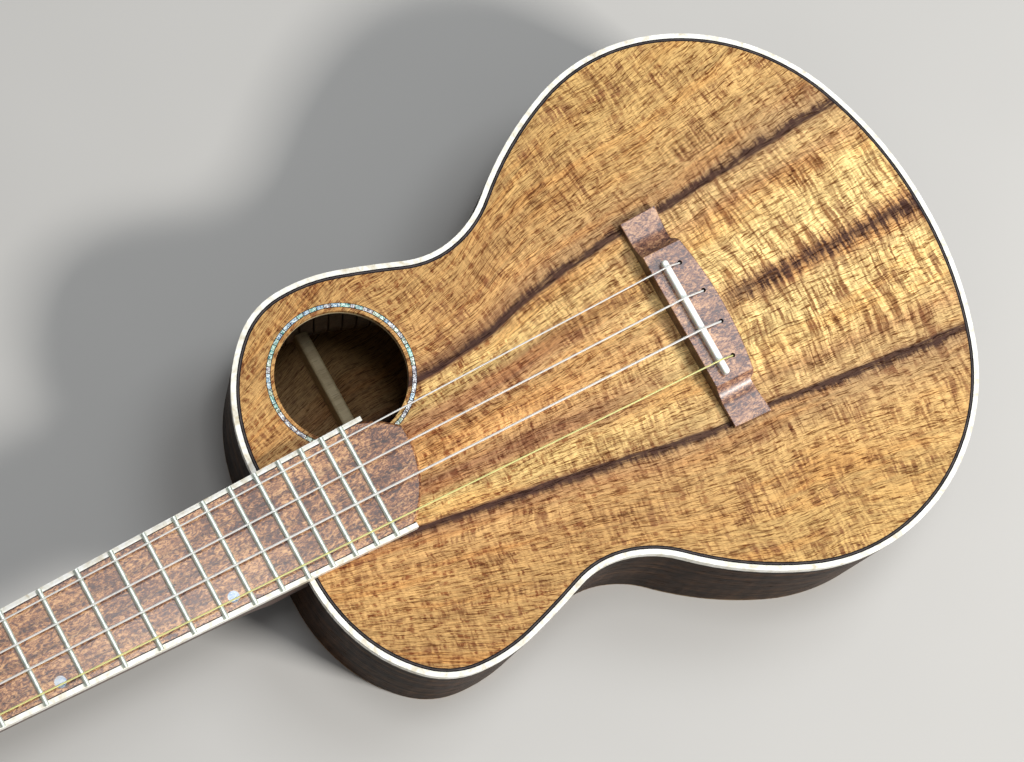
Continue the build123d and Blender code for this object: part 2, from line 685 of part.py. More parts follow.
# ---------------------------------------------------------------- fretboard
with BuildPart() as fretboard:
    with BuildSketch(TOP):
        add(board_outline(BOARD_BINDING + BOARD_LINE))
    extrude(amount=BOARD_THICKNESS)
    end_edges = fretboard.faces().sort_by(TOP_UP)[-1].edges().filter_by(is_board_end)
    chamfer(end_edges, BOARD_END_BEVEL)
    for number in range(1, FRET_COUNT + 1):
        with BuildSketch(MIDDLE):
            with Locations((fret_x(number), BOARD_THICKNESS)):
                Rectangle(FRET_TANG, FRET_TANG_DEPTH, align=(Align.CENTER, Align.MAX))
        extrude(amount=JOIN_WIDTH, both=True, mode=Mode.SUBTRACT)
    with BuildSketch(TOP.offset(BOARD_THICKNESS)):
        with Locations(DOTS):
            Circle(DOT_RADIUS)
    extrude(amount=-DOT_DEPTH, mode=Mode.SUBTRACT)
fretboard.part.label = "fretboard"
export_step(fretboard.part, "parts/fretboard.step")

with BuildPart() as fretboard_binding:
    with BuildSketch(TOP):
        add(board_strip(0, BOARD_BINDING, BOARD_TREBLE_END))
        add(mirror(board_strip(0, BOARD_BINDING, BOARD_BASS_END), about=Plane.XZ))
    extrude(amount=BOARD_THICKNESS)
fretboard_binding.part.label = "fretboard_binding"
export_step(fretboard_binding.part, "parts/fretboard_binding.step")

with BuildPart() as fretboard_lines:
    with BuildSketch(TOP):
        add(board_strip(BOARD_BINDING, BOARD_BINDING + BOARD_LINE, BOARD_TREBLE_END))
        add(mirror(board_strip(BOARD_BINDING, BOARD_BINDING + BOARD_LINE, BOARD_BASS_END), about=Plane.XZ))
    extrude(amount=BOARD_THICKNESS)
fretboard_lines.part.label = "fretboard_lines"
export_step(fretboard_lines.part, "parts/fretboard_lines.step")

with BuildPart() as frets:
    for number in range(1, FRET_COUNT + 1):
        half = board_half(fret_x(number)) - FRET_END_GAP
        with BuildSketch(MIDDLE):
            with Locations((fret_x(number), BOARD_THICKNESS)):
                Ellipse(FRET_WIDTH / 2, FRET_CROWN)
                Rectangle(FRET_WIDTH, FRET_CROWN, align=(Align.CENTER, Align.MAX), mode=Mode.SUBTRACT)
        extrude(amount=half, both=True)
        with BuildSketch(MIDDLE):
            with Locations((fret_x(number), BOARD_THICKNESS)):
                Rectangle(FRET_TANG, FRET_TANG_DEPTH, align=(Align.CENTER, Align.MAX))
        extrude(amount=half - BOARD_BINDING - BOARD_LINE, both=True)
frets.part.label = "frets"
export_step(frets.part, "parts/frets.step")

with BuildPart() as position_dots:
    with BuildSketch(TOP.offset(BOARD_THICKNESS)):
        with Locations(DOTS):
            Circle(DOT_RADIUS)
    extrude(amount=-DOT_DEPTH)
position_dots.part.label = "position_dots"
export_step(position_dots.part, "parts/position_dots.step")

with BuildPart() as nut:
    with BuildSketch(TOP):
        with Locations((NUT_X - NUT_THICKNESS / 2, 0)):
            Rectangle(NUT_THICKNESS, NUT_WIDTH - 2 * NUT_INSET)
    extrude(amount=NUT_HEIGHT)
    fillet(nut.faces().sort_by(TOP_UP)[-1].outer_wire().edges(), NUT_ROUND)
    for _, _, y, diameter, _ in STRINGS:
        with BuildSketch(MIDDLE.offset(-y)):
            Polygon(
                (NUT_X + 1, NUT_SLOT_BOTTOM),
                (NUT_X - NUT_THICKNESS / 2, NUT_SLOT_BOTTOM),
                (NUT_X - NUT_THICKNESS - 1, NUT_SLOT_BOTTOM - NUT_SLOT_FALL),
                (NUT_X - NUT_THICKNESS - 1, NUT_HEIGHT + 1),
                (NUT_X + 1, NUT_HEIGHT + 1),
                align=None,
            )
        extrude(amount=diameter / 2 + SLOT_SIDE_GAP, both=True, mode=Mode.SUBTRACT)
nut.part.label = "nut"
export_step(nut.part, "parts/nut.step")

# ---------------------------------------------------------------- bridge and saddle
with BuildPart() as bridge:
    with BuildSketch(TOP):
        with BuildLine():
            Polyline(
                (BRIDGE_BELLY, 0),
                (BRIDGE_FRONT, 0),
                (BRIDGE_FRONT, BRIDGE_HALF),
                (BRIDGE_BACK, BRIDGE_HALF + BRIDGE_SPLAY),
                BRIDGE_WAIST,
                BRIDGE_SHOULDER,
            )
            TangentArc((BRIDGE_BELLY, 0), BRIDGE_SHOULDER, tangent=(0, 1))
        make_face()
        mirror(about=Plane.XZ)
    extrude(amount=BRIDGE_HEIGHT)
    with BuildSketch(across(BRIDGE_FRONT)):
        with BuildLine():
            Polyline((BRIDGE_HALF + 2, WING_HEIGHT), (BRIDGE_HALF + 2, 0), (0, 0), (0, BRIDGE_HEIGHT))
            Line((0, BRIDGE_HEIGHT), (RAISED_HALF, BRIDGE_HEIGHT))
            wing_drop = BRIDGE_HEIGHT - WING_HEIGHT
            scoop_end = RAISED_HALF + math.sqrt(wing_drop * (2 * SCOOP_RADIUS - wing_drop))
            TangentArc((scoop_end, WING_HEIGHT), (RAISED_HALF, BRIDGE_HEIGHT), tangent=(-1, 0))
            Line((scoop_end, WING_HEIGHT), (BRIDGE_HALF + 2, WING_HEIGHT))
        make_face()
        mirror(about=Plane.YZ)
    extrude(amount=BRIDGE_BELLY - BRIDGE_FRONT, mode=Mode.INTERSECT)
    fillet(bridge.edges().filter_by(is_bridge_rim), BRIDGE_BEVEL)
    with BuildSketch(TOP.offset(BRIDGE_HEIGHT)):
        with Locations((SADDLE_X, (SADDLE_Y[0] + SADDLE_Y[1]) / 2)):
            SlotOverall(SADDLE_Y[1] - SADDLE_Y[0], SADDLE_THICKNESS, rotation=90)
    extrude(amount=SADDLE_SEAT - BRIDGE_HEIGHT, mode=Mode.SUBTRACT)
    with BuildSketch(TOP):
        with Locations([(hole, y) for _, y, _, _, hole in STRINGS]):
            Circle(STRING_HOLE_RADIUS)
    extrude(amount=BRIDGE_HEIGHT, mode=Mode.SUBTRACT)
    for _, y, _, diameter, hole in STRINGS:
        with BuildSketch(MIDDLE.offset(-y)):
            Polygon(
                (hole, BRIDGE_HEIGHT + 1),
                (hole, BRIDGE_HEIGHT - RAMP_SLOT_DEPTH),
                (hole - RAMP_SLOT_LENGTH, BRIDGE_HEIGHT),
                (hole - RAMP_SLOT_LENGTH, BRIDGE_HEIGHT + 1),
                align=None,
            )
        extrude(amount=diameter / 2 + SLOT_SIDE_GAP, both=True, mode=Mode.SUBTRACT)
bridge.part.label = "bridge"
export_step(bridge.part, "parts/bridge.step")

with BuildPart() as saddle:
    with BuildSketch(TOP.offset(SADDLE_SEAT)):
        with Locations((SADDLE_X, (SADDLE_Y[0] + SADDLE_Y[1]) / 2)):
            SlotOverall(SADDLE_Y[1] - SADDLE_Y[0], SADDLE_THICKNESS, rotation=90)
    extrude(amount=SADDLE_TOP - SADDLE_SEAT)
    fillet(saddle.faces().sort_by(TOP_UP)[-1].outer_wire().edges(), SADDLE_ROUND)
saddle.part.label = "saddle"
export_step(saddle.part, "parts/saddle.step")

# ---------------------------------------------------------------- strings
for letter, saddle_y, nut_y, diameter, hole in STRINGS:
    post = POST_OF[letter]
    radius = diameter / 2
    knot = TOP.from_local_coords(Vector(hole, saddle_y, -TOP_THICKNESS - PLATE_THICKNESS - KNOT_RADIUS))
    bend = TOP.from_local_coords(Vector(hole, saddle_y, BRIDGE_HEIGHT - STRING_DIP))
    crown = TOP.from_local_coords(Vector(SADDLE_X, saddle_y, SADDLE_TOP + STRING_LIFT + radius))
    slot_level = NUT_SLOT_BOTTOM + STRING_LIFT + radius
    slot = TOP.from_local_coords(Vector(NUT_X - NUT_THICKNESS / 2, nut_y, slot_level))
    meet = inner_tangent((NUT_THICKNESS / 2, nut_y), post, POST_RADIUS + radius + STRING_GAP)
    end = HEAD.from_local_coords(Vector(meet[0], meet[1], WINDING_HEIGHT))
    with BuildPart() as string:
        with BuildLine() as route:
            FilletPolyline(knot, bend, crown, slot, end, radius=STRING_BENDS)
        with BuildSketch(Plane(origin=route.line @ 0, z_dir=route.line % 0)):
            Circle(radius)
        sweep()
        with Locations(knot):
            Sphere(KNOT_RADIUS)
    string.part.label = f"string_{letter}"
    export_step(string.part, f"parts/string_{letter}.step")

# ---------------------------------------------------------------- tuning machines, fixed pieces
with BuildPart() as tuner_bushings:
    with BuildSketch(HEAD.offset(HEADPLATE_THICKNESS)):
        with Locations(POSTS):
            Circle(BUSHING_RADIUS)
            Circle(POST_RADIUS + RUNNING_CLEARANCE, mode=Mode.SUBTRACT)
    extrude(amount=-HEADPLATE_THICKNESS - HEAD_THICKNESS)
    with BuildSketch(HEAD.offset(HEADPLATE_THICKNESS)):
        with Locations(POSTS):
            Circle(BUSHING_RADIUS + FLANGE_WIDTH)
            Circle(POST_RADIUS + RUNNING_CLEARANCE, mode=Mode.SUBTRACT)
    extrude(amount=BUSHING_FLANGE)
tuner_bushings.part.label = "tuner_bushings"
export_step(tuner_bushings.part, "parts/tuner_bushings.step")

with BuildPart() as tuner_plates:
    with BuildSketch(HEAD.offset(-HEAD_THICKNESS)):
        with Locations(POSTS):
            with Locations((PLATE_SHIFT, 0)):
                SlotOverall(PLATE_LENGTH, PLATE_WIDTH)
        with Locations(POSTS):
            Circle(POST_RADIUS + RUNNING_CLEARANCE, mode=Mode.SUBTRACT)
        with Locations(SCREWS):
            Circle(SCREW_RADIUS, mode=Mode.SUBTRACT)
    extrude(amount=-TUNER_PLATE)
    for x, y in POSTS:
        with BuildSketch(Plane(origin=worm_point(x, y, 0), x_dir=HEAD.x_dir, z_dir=(0, 1, 0))):
            with Locations((0, -EAR_REACH / 2)):
                Rectangle(EAR_WIDTH, EAR_REACH)
            Circle(EAR_WIDTH / 2)
            Circle(WORM_SHAFT_RADIUS + RUNNING_CLEARANCE, mode=Mode.SUBTRACT)
        extrude(amount=EAR_OUTSIDE, both=True)
        with BuildSketch(Plane(origin=worm_point(x, y, 0), x_dir=HEAD.x_dir, z_dir=(0, 1, 0))):
            Rectangle(2 * EAR_WIDTH, 2 * (EAR_REACH - TUNER_PLATE))
        extrude(amount=EAR_INSIDE, both=True, mode=Mode.SUBTRACT)
tuner_plates.part.label = "tuner_plates"
export_step(tuner_plates.part, "parts/tuner_plates.step")

with BuildPart() as tuner_screws:
    with BuildSketch(HEAD.offset(-HEAD_THICKNESS - TUNER_PLATE)):
        with Locations(SCREWS):
            Circle(SCREW_RADIUS)
    extrude(amount=TUNER_PLATE + SCREW_LENGTH)
    with BuildSketch(HEAD.offset(-HEAD_THICKNESS - TUNER_PLATE)):
        with Locations(SCREWS):
            Circle(SCREW_HEAD_RADIUS)
    extrude(amount=-SCREW_HEAD_HEIGHT)
tuner_screws.part.label = "tuner_screws"
export_step(tuner_screws.part, "parts/tuner_screws.step")

# ---------------------------------------------------------------- tuning machines, moving pieces
# the worm is an off-centre circle that turns as it advances, which leaves one rounded thread
THREAD_LENGTH = WORM_TURNS * WORM_PITCH
with BuildSketch() as thread_section:
    with Locations((WORM_THREAD, 0)):
        Circle(WORM_RADIUS)
WORM_SCREW = Solid.extrude_linear_with_rotation(
    thread_section.face(), (0, 0, 0), (0, 0, THREAD_LENGTH), 360 * WORM_TURNS
)

for letter, _, _, diameter, _ in STRINGS:
    x, y = POST_OF[letter]
    post_foot = HEAD.from_local_coords(Vector(x, y, 0))

    with BuildPart() as post:
        with BuildSketch(Plane(origin=post_foot, x_dir=HEAD.x_dir, z_dir=(0, -1, 0))):
            with BuildLine():
                Polyline(
                    (0, GEAR_LEVEL - GEAR_FACE / 2),
                    (GEAR_BORE, GEAR_LEVEL - GEAR_FACE / 2),
                    (GEAR_BORE, GEAR_LEVEL + GEAR_FACE / 2),
                    (POST_RADIUS, GEAR_LEVEL + GEAR_FACE / 2 + POST_SHOULDER),
                    (POST_RADIUS, POST_TOP - POST_CROWN),
                )
                TangentArc(
                    (POST_RADIUS, POST_TOP - POST_CROWN),
                    (POST_TIP_RADIUS, POST_TOP),
                    tangent=(0, 1),
                )
                Polyline((POST_TIP_RADIUS, POST_TOP), (0, POST_TOP), (0, GEAR_LEVEL - GEAR_FACE / 2))
            make_face()
        revolve(axis=Axis(post_foot, HEAD.z_dir))
        with BuildSketch(Plane(origin=HEAD.from_local_coords(Vector(x, y, POST_HOLE)), z_dir=(0, 1, 0))):
            Circle(POST_HOLE_RADIUS)
        extrude(amount=2 * POST_RADIUS, both=True, mode=Mode.SUBTRACT)
    post.part.label = f"tuner_post_{letter}"
    export_step(post.part, f"parts/tuner_post_{letter}.step")

    with BuildPart() as gear:
        with BuildSketch(HEAD.offset(GEAR_LEVEL - GEAR_FACE / 2)):
            with Locations((x, y)):
                Circle(GEAR_ROOT)
                with PolarLocations(0, GEAR_TEETH):
                    Polygon(
                        (GEAR_ROOT - TOOTH_SINK, -TOOTH_ROOT_HALF),
                        (GEAR_TIP, -TOOTH_TIP_HALF),
                        (GEAR_TIP, TOOTH_TIP_HALF),
                        (GEAR_ROOT - TOOTH_SINK, TOOTH_ROOT_HALF),
                        align=None,
                    )
                Circle(GEAR_BORE, mode=Mode.SUBTRACT)
        extrude(amount=GEAR_FACE)
        with BuildSketch(HEAD.offset(GEAR_LEVEL - GEAR_FACE / 2)):
            with Locations((x, y)):
                Circle(GEAR_HUB_RADIUS)
        extrude(amount=-GEAR_HUB_LENGTH)
    gear.part.label = f"tuner_gear_{letter}"
    export_step(gear.part, f"parts/tuner_gear_{letter}.step")

    with BuildPart() as worm:
        thread_start = worm_point(x, y, -THREAD_LENGTH / 2)
        add(Plane(origin=thread_start, x_dir=HEAD.x_dir, z_dir=(0, 1, 0)) * WORM_SCREW)
        with BuildSketch(facing_out(x, y, -EAR_OUTSIDE - SHAFT_STUB)):
            Circle(WORM_SHAFT_RADIUS)
        extrude(amount=EAR_OUTSIDE + SHAFT_STUB + BUTTON_REACH - abs(y))
    worm.part.label = f"tuner_worm_{letter}"
    export_step(worm.part, f"parts/tuner_worm_{letter}.step")

    with BuildPart() as button:
        with BuildSketch(facing_out(x, y, BUTTON_START - abs(y))):
            Circle(BUTTON_COLLAR)
        extrude(amount=BUTTON_COLLAR_LENGTH)
        with BuildSketch(facing_out(x, y, BUTTON_START + BUTTON_COLLAR_LENGTH - abs(y))):
            RectangleRounded(BUTTON_THICKNESS, BUTTON_WIDTH, BUTTON_THICKNESS / 2 - 0.1)
        extrude(amount=BUTTON_LENGTH)
        end_face = button.faces().sort_by(Axis.Y)[-1 if y > 0 else 0]
        fillet(end_face.outer_wire().edges(), BUTTON_ROUND)
        with BuildSketch(facing_out(x, y, BUTTON_START - abs(y))):
            Circle(WORM_SHAFT_RADIUS)
        extrude(amount=BUTTON_REACH - BUTTON_START, mode=Mode.SUBTRACT)
    button.part.label = f"tuner_button_{letter}"
    export_step(button.part, f"parts/tuner_button_{letter}.step")

    with BuildPart() as winding:
        with BuildSketch(HEAD.offset(WINDING_HEIGHT - diameter / 2 - STRING_GAP)):
            with Locations((x, y)):
                Circle(POST_RADIUS + diameter)
                Circle(POST_RADIUS, mode=Mode.SUBTRACT)
        extrude(amount=-WINDING_TURNS * diameter)
    winding.part.label = f"string_winding_{letter}"
    export_step(winding.part, f"parts/string_winding_{letter}.step")
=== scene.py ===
"""Looks for a tenor ukulele that lies on its back, in metres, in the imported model's frame:
+X towards the tail, +Y towards the treble side, +Z up."""

import json
import math
import random

import bmesh
import bpy
from mathutils import Matrix, Vector
from mathutils.bvhtree import BVHTree


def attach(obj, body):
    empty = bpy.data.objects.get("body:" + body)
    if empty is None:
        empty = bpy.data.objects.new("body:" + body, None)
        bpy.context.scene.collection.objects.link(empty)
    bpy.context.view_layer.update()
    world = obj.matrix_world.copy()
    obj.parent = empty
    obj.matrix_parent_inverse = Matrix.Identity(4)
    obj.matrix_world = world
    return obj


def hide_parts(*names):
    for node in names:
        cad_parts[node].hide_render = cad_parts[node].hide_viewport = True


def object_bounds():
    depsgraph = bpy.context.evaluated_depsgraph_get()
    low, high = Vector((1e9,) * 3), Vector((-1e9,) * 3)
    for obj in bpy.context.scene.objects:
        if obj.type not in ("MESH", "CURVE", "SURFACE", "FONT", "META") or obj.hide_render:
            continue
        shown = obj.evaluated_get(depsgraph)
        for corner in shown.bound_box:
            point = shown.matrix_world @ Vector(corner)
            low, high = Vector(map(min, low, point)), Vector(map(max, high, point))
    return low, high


MM = 0.001
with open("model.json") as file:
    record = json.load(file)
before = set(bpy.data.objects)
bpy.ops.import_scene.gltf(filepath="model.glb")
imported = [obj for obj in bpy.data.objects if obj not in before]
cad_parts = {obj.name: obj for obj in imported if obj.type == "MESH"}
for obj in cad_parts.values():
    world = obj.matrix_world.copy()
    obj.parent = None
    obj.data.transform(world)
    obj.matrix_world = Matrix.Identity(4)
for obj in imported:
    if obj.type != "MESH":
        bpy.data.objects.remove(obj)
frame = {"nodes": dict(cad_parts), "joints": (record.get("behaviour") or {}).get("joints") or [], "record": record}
CAD_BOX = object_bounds()

# ---------------------------------------------------------------- measures, in millimetres
BODY_LENGTH = 313.6
TOP_RISE = 12.5  # how much higher the top is at the tail than at the neck
TOP_TILT = math.atan(TOP_RISE / BODY_LENGTH)
TOP_LEVEL = 73.75  # height of the top's outer face, halfway along the body
TOP_THICKNESS = 2.4
BACK_THICKNESS = 2.3

HOLE_PLACE = (-105.1, 44.7)
SHELL_RADII = (29.25, 30.75)
TILE_LENGTH = (1.8, 4.6)
TILE_GAP = 0.34
TILE_INSET = 0.02  # between a tile and the edge of the ring
TILE_DEPTH = 1.0
TILE_STEPS = 6
TILE_SEED = 11
LAST_TILE = 0.02  # the ring is closed once less than this angle is left

LINING_WIDTH = 5.5
LINING_HEIGHT = 13.0
LINING_TOE = 2.0  # thickness of a lining block at its free edge
LINING_SHOULDER = 0.4  # share of its height at which a block begins to taper
RIB_GAP = 0.1  # between a lining and the rib
STRIP_WIDTH = 1.1  # from the rib to the bottom of the kerfs
KERF_SPACING = 6.2
KERF_WIDTH = 0.9
BLOCK_STRIDES = 4
WALL_STRIDE = KERF_SPACING / BLOCK_STRIDES
WALL_REACH = 155.0  # the linings are followed this far either way from the middle
WALL_STEPS = 3101  # places looked up along each wall, 0.1 mm apart

STRING_SIZES = {"g": 0.72, "c": 0.94, "e": 0.82, "a": 0.68}
WINDING_TURNS = 2
TURN_STEPS = 28
WINDING_PITCH = 1.03  # from one turn to the next, in string thicknesses
CAP_DEPTH = 0.2  # points this near a string's end belong to its end face

STREAK_START = 40.5  # how far the dark streak is from the centreline, halfway along the body
STREAK_SPREAD = 0.13  # how much further out it is for each millimetre towards the tail
STREAK_BEND = -0.0001  # and for the square of that
BAND_REACH = 100.0  # the places of the koa's bands are shares of this


def srgb(red, green, blue):
    """A colour given the way a screen shows it, as the linear values that shaders take."""
    linear = []
    for value in (red, green, blue):
        share = value / 255
        linear.append(share / 12.92 if share <= 0.04045 else ((share + 0.055) / 1.055) ** 2.4)
    return (*linear, 1.0)


def between(first, second, share):
    """A colour a share of the way from one colour to another."""
    return tuple(start + (end - start) * share for start, end in zip(first, second))


BLACK = (0, 0, 0, 1)


# ---------------------------------------------------------------- shader building
class Finish:
    """One material and the nodes in it. Sizes are in millimetres."""

    def __init__(self, name):
        self.material = bpy.data.materials.new(name)
        self.material.use_nodes = True
        self.tree = self.material.node_tree
        self.shader = self.tree.nodes["Principled BSDF"]
        place = self.node("ShaderNodeTexCoord").outputs["Object"]
        scaled = self.node("ShaderNodeVectorMath", operation="SCALE")
        self.tree.links.new(place, scaled.inputs[0])
        scaled.inputs["Scale"].default_value = 1 / MM
        self.place = scaled.outputs[0]
        parts = self.node("ShaderNodeSeparateXYZ")
        self.tree.links.new(self.place, parts.inputs[0])
        self.x, self.y, self.z = parts.outputs

    def node(self, kind, **settings):
        """A new shader node with some of its properties set."""
        made = self.tree.nodes.new(kind)
        for key, value in settings.items():
            setattr(made, key, value)
        return made

    def feed(self, socket, value):
        """Links a socket to another node's output, or sets it to a number or colour."""
        if isinstance(value, bpy.types.NodeSocket):
            self.tree.links.new(value, socket)
        else:
            socket.default_value = value

    def math(self, operation, first, second=0.0, clamp=False):
        made = self.node("ShaderNodeMath", operation=operation, use_clamp=clamp)
        self.feed(made.inputs[0], first)
        self.feed(made.inputs[1], second)
        return made.outputs[0]

    def add(self, *values):
        total = values[0]
        for value in values[1:]:
            total = self.math("ADD", total, value)
        return total

    def times(self, *values):
        total = values[0]
        for value in values[1:]:
            total = self.math("MULTIPLY", total, value)
        return total

    def vector(self, x, y, z):
        made = self.node("ShaderNodeCombineXYZ")
        for socket, value in zip(made.inputs, (x, y, z)):
            self.feed(socket, value)
        return made.outputs[0]

    def noise(self, size, where=None, detail=2.0, roughness=0.5, distortion=0.0, seed=0.0):
        """Noise from 0 to 1 whose features have a size along x, y and z."""
        mapping = self.node("ShaderNodeMapping")
        self.feed(mapping.inputs["Vector"], self.place if where is None else where)
        mapping.inputs["Scale"].default_value = [1 / length for length in size]
        mapping.inputs["Location"].default_value = (seed * 7.3, seed * 3.1, seed * 5.7)
        made = self.node("ShaderNodeTexNoise")
        self.feed(made.inputs["Vector"], mapping.outputs[0])
        made.inputs["Scale"].default_value = 1.0
        made.inputs["Detail"].default_value = detail
        made.inputs["Roughness"].default_value = roughness
        made.inputs["Distortion"].default_value = distortion
        return made.outputs[0]

    def swing(self, size, amount, **settings):
        """Noise that swings from about -amount to amount."""
        return self.times(self.math("SUBTRACT", self.noise(size, **settings), 0.5), 2.0 * amount)

    def ease(self, value, low, high, start=0.0, end=1.0):
        """A smooth step from start to end as value goes from low to high."""
        made = self.node("ShaderNodeMapRange", interpolation_type="SMOOTHSTEP")
        for socket, number in zip(made.inputs[:5], (value, low, high, start, end)):
            self.feed(socket, number)
        return made.outputs[0]

    def ramp(self, value, *stops):
        """A colour that runs through stops, each a place from 0 to 1 and a colour."""
        made = self.node("ShaderNodeValToRGB")
        self.feed(made.inputs[0], value)
        elements = made.color_ramp.elements
        while len(elements) < len(stops):
            elements.new(1.0)
        for element, (place, colour) in zip(elements, stops):
            element.position = place
            element.color = colour
        return made.outputs[0]

    def mix(self, share, first, second, blend="MIX"):
        made = self.node("ShaderNodeMix", data_type="RGBA", blend_type=blend)
        self.feed(made.inputs["Factor"], share)
        self.feed(made.inputs[6], first)
        self.feed(made.inputs[7], second)
        return made.outputs[2]

    def tone(self, colour, amount):
        """A colour made lighter or darker."""
        made = self.node("ShaderNodeVectorMath", operation="SCALE")
        self.feed(made.inputs[0], colour)
        self.feed(made.inputs["Scale"], amount)
        return made.outputs[0]

    def stain(self, colour, share, dye):
        """A colour multiplied by a dye, by a share from 0 to 1."""
        return self.mix(share, colour, self.mix(1.0, colour, dye, blend="MULTIPLY"))

    def paint(self, colour, roughness=0.4, **others):
        """Gives the shader its inputs, each named after its socket, and returns the material."""
        self.feed(self.shader.inputs["Base Color"], colour)
        self.feed(self.shader.inputs["Roughness"], roughness)
        for name, value in others.items():
            socket = name.replace("_", " ").title().replace("Ior", "IOR")
            self.feed(self.shader.inputs[socket], value)
        return self.material

    def bump(self, height, depth):
        """Relief of a depth in millimetres."""
        made = self.node("ShaderNodeBump")
        made.inputs["Strength"].default_value = 1.0
        made.inputs["Distance"].default_value = depth * MM
        self.feed(made.inputs["Height"], height)
        self.tree.links.new(made.outputs[0], self.shader.inputs["Normal"])


# ---------------------------------------------------------------- woods
# the koa's bands from the centreline outwards, at the neck and at the tail
NECK_BANDS = (
    (0.00, srgb(212, 158, 100)),
    (0.06, srgb(216, 162, 104)),
    (0.11, srgb(206, 158, 108)),
    (0.16, srgb(160, 114, 80)),
    (0.21, srgb(176, 130, 90)),
    (0.27, srgb(222, 184, 122)),
    (0.34, srgb(218, 180, 120)),
    (0.46, srgb(178, 132, 90)),
    (0.54, srgb(204, 158, 104)),
    (0.66, srgb(198, 150, 96)),
    (0.80, srgb(202, 156, 100)),
)
TAIL_BANDS = (
    (0.03, srgb(206, 164, 112)),
    (0.09, srgb(226, 192, 132)),
    (0.22, srgb(222, 186, 126)),
    (0.27, srgb(212, 172, 116)),
    (0.31, srgb(188, 144, 98)),
    (0.35, srgb(212, 174, 120)),
    (0.43, srgb(184, 146, 104)),
    (0.49, srgb(194, 154, 106)),
    (0.57, srgb(212, 168, 110)),
    (0.70, srgb(214, 170, 110)),
    (0.84, srgb(208, 166, 106)),
)
WARM_DYE = srgb(255, 218, 176)
BAR_DYE = srgb(156, 122, 104)
MOTTLE_DYE = srgb(174, 128, 98)
PORE_DYE = srgb(130, 94, 62)
BLOT_BROWN = srgb(132, 82, 52)
STREAK_BROWN = srgb(112, 72, 50)
STREAK_BLACK = srgb(60, 34, 28)
KOA_BALANCE = (0.98, 1.02, 0.96)
KOA_LIGHTNESS = 1.20


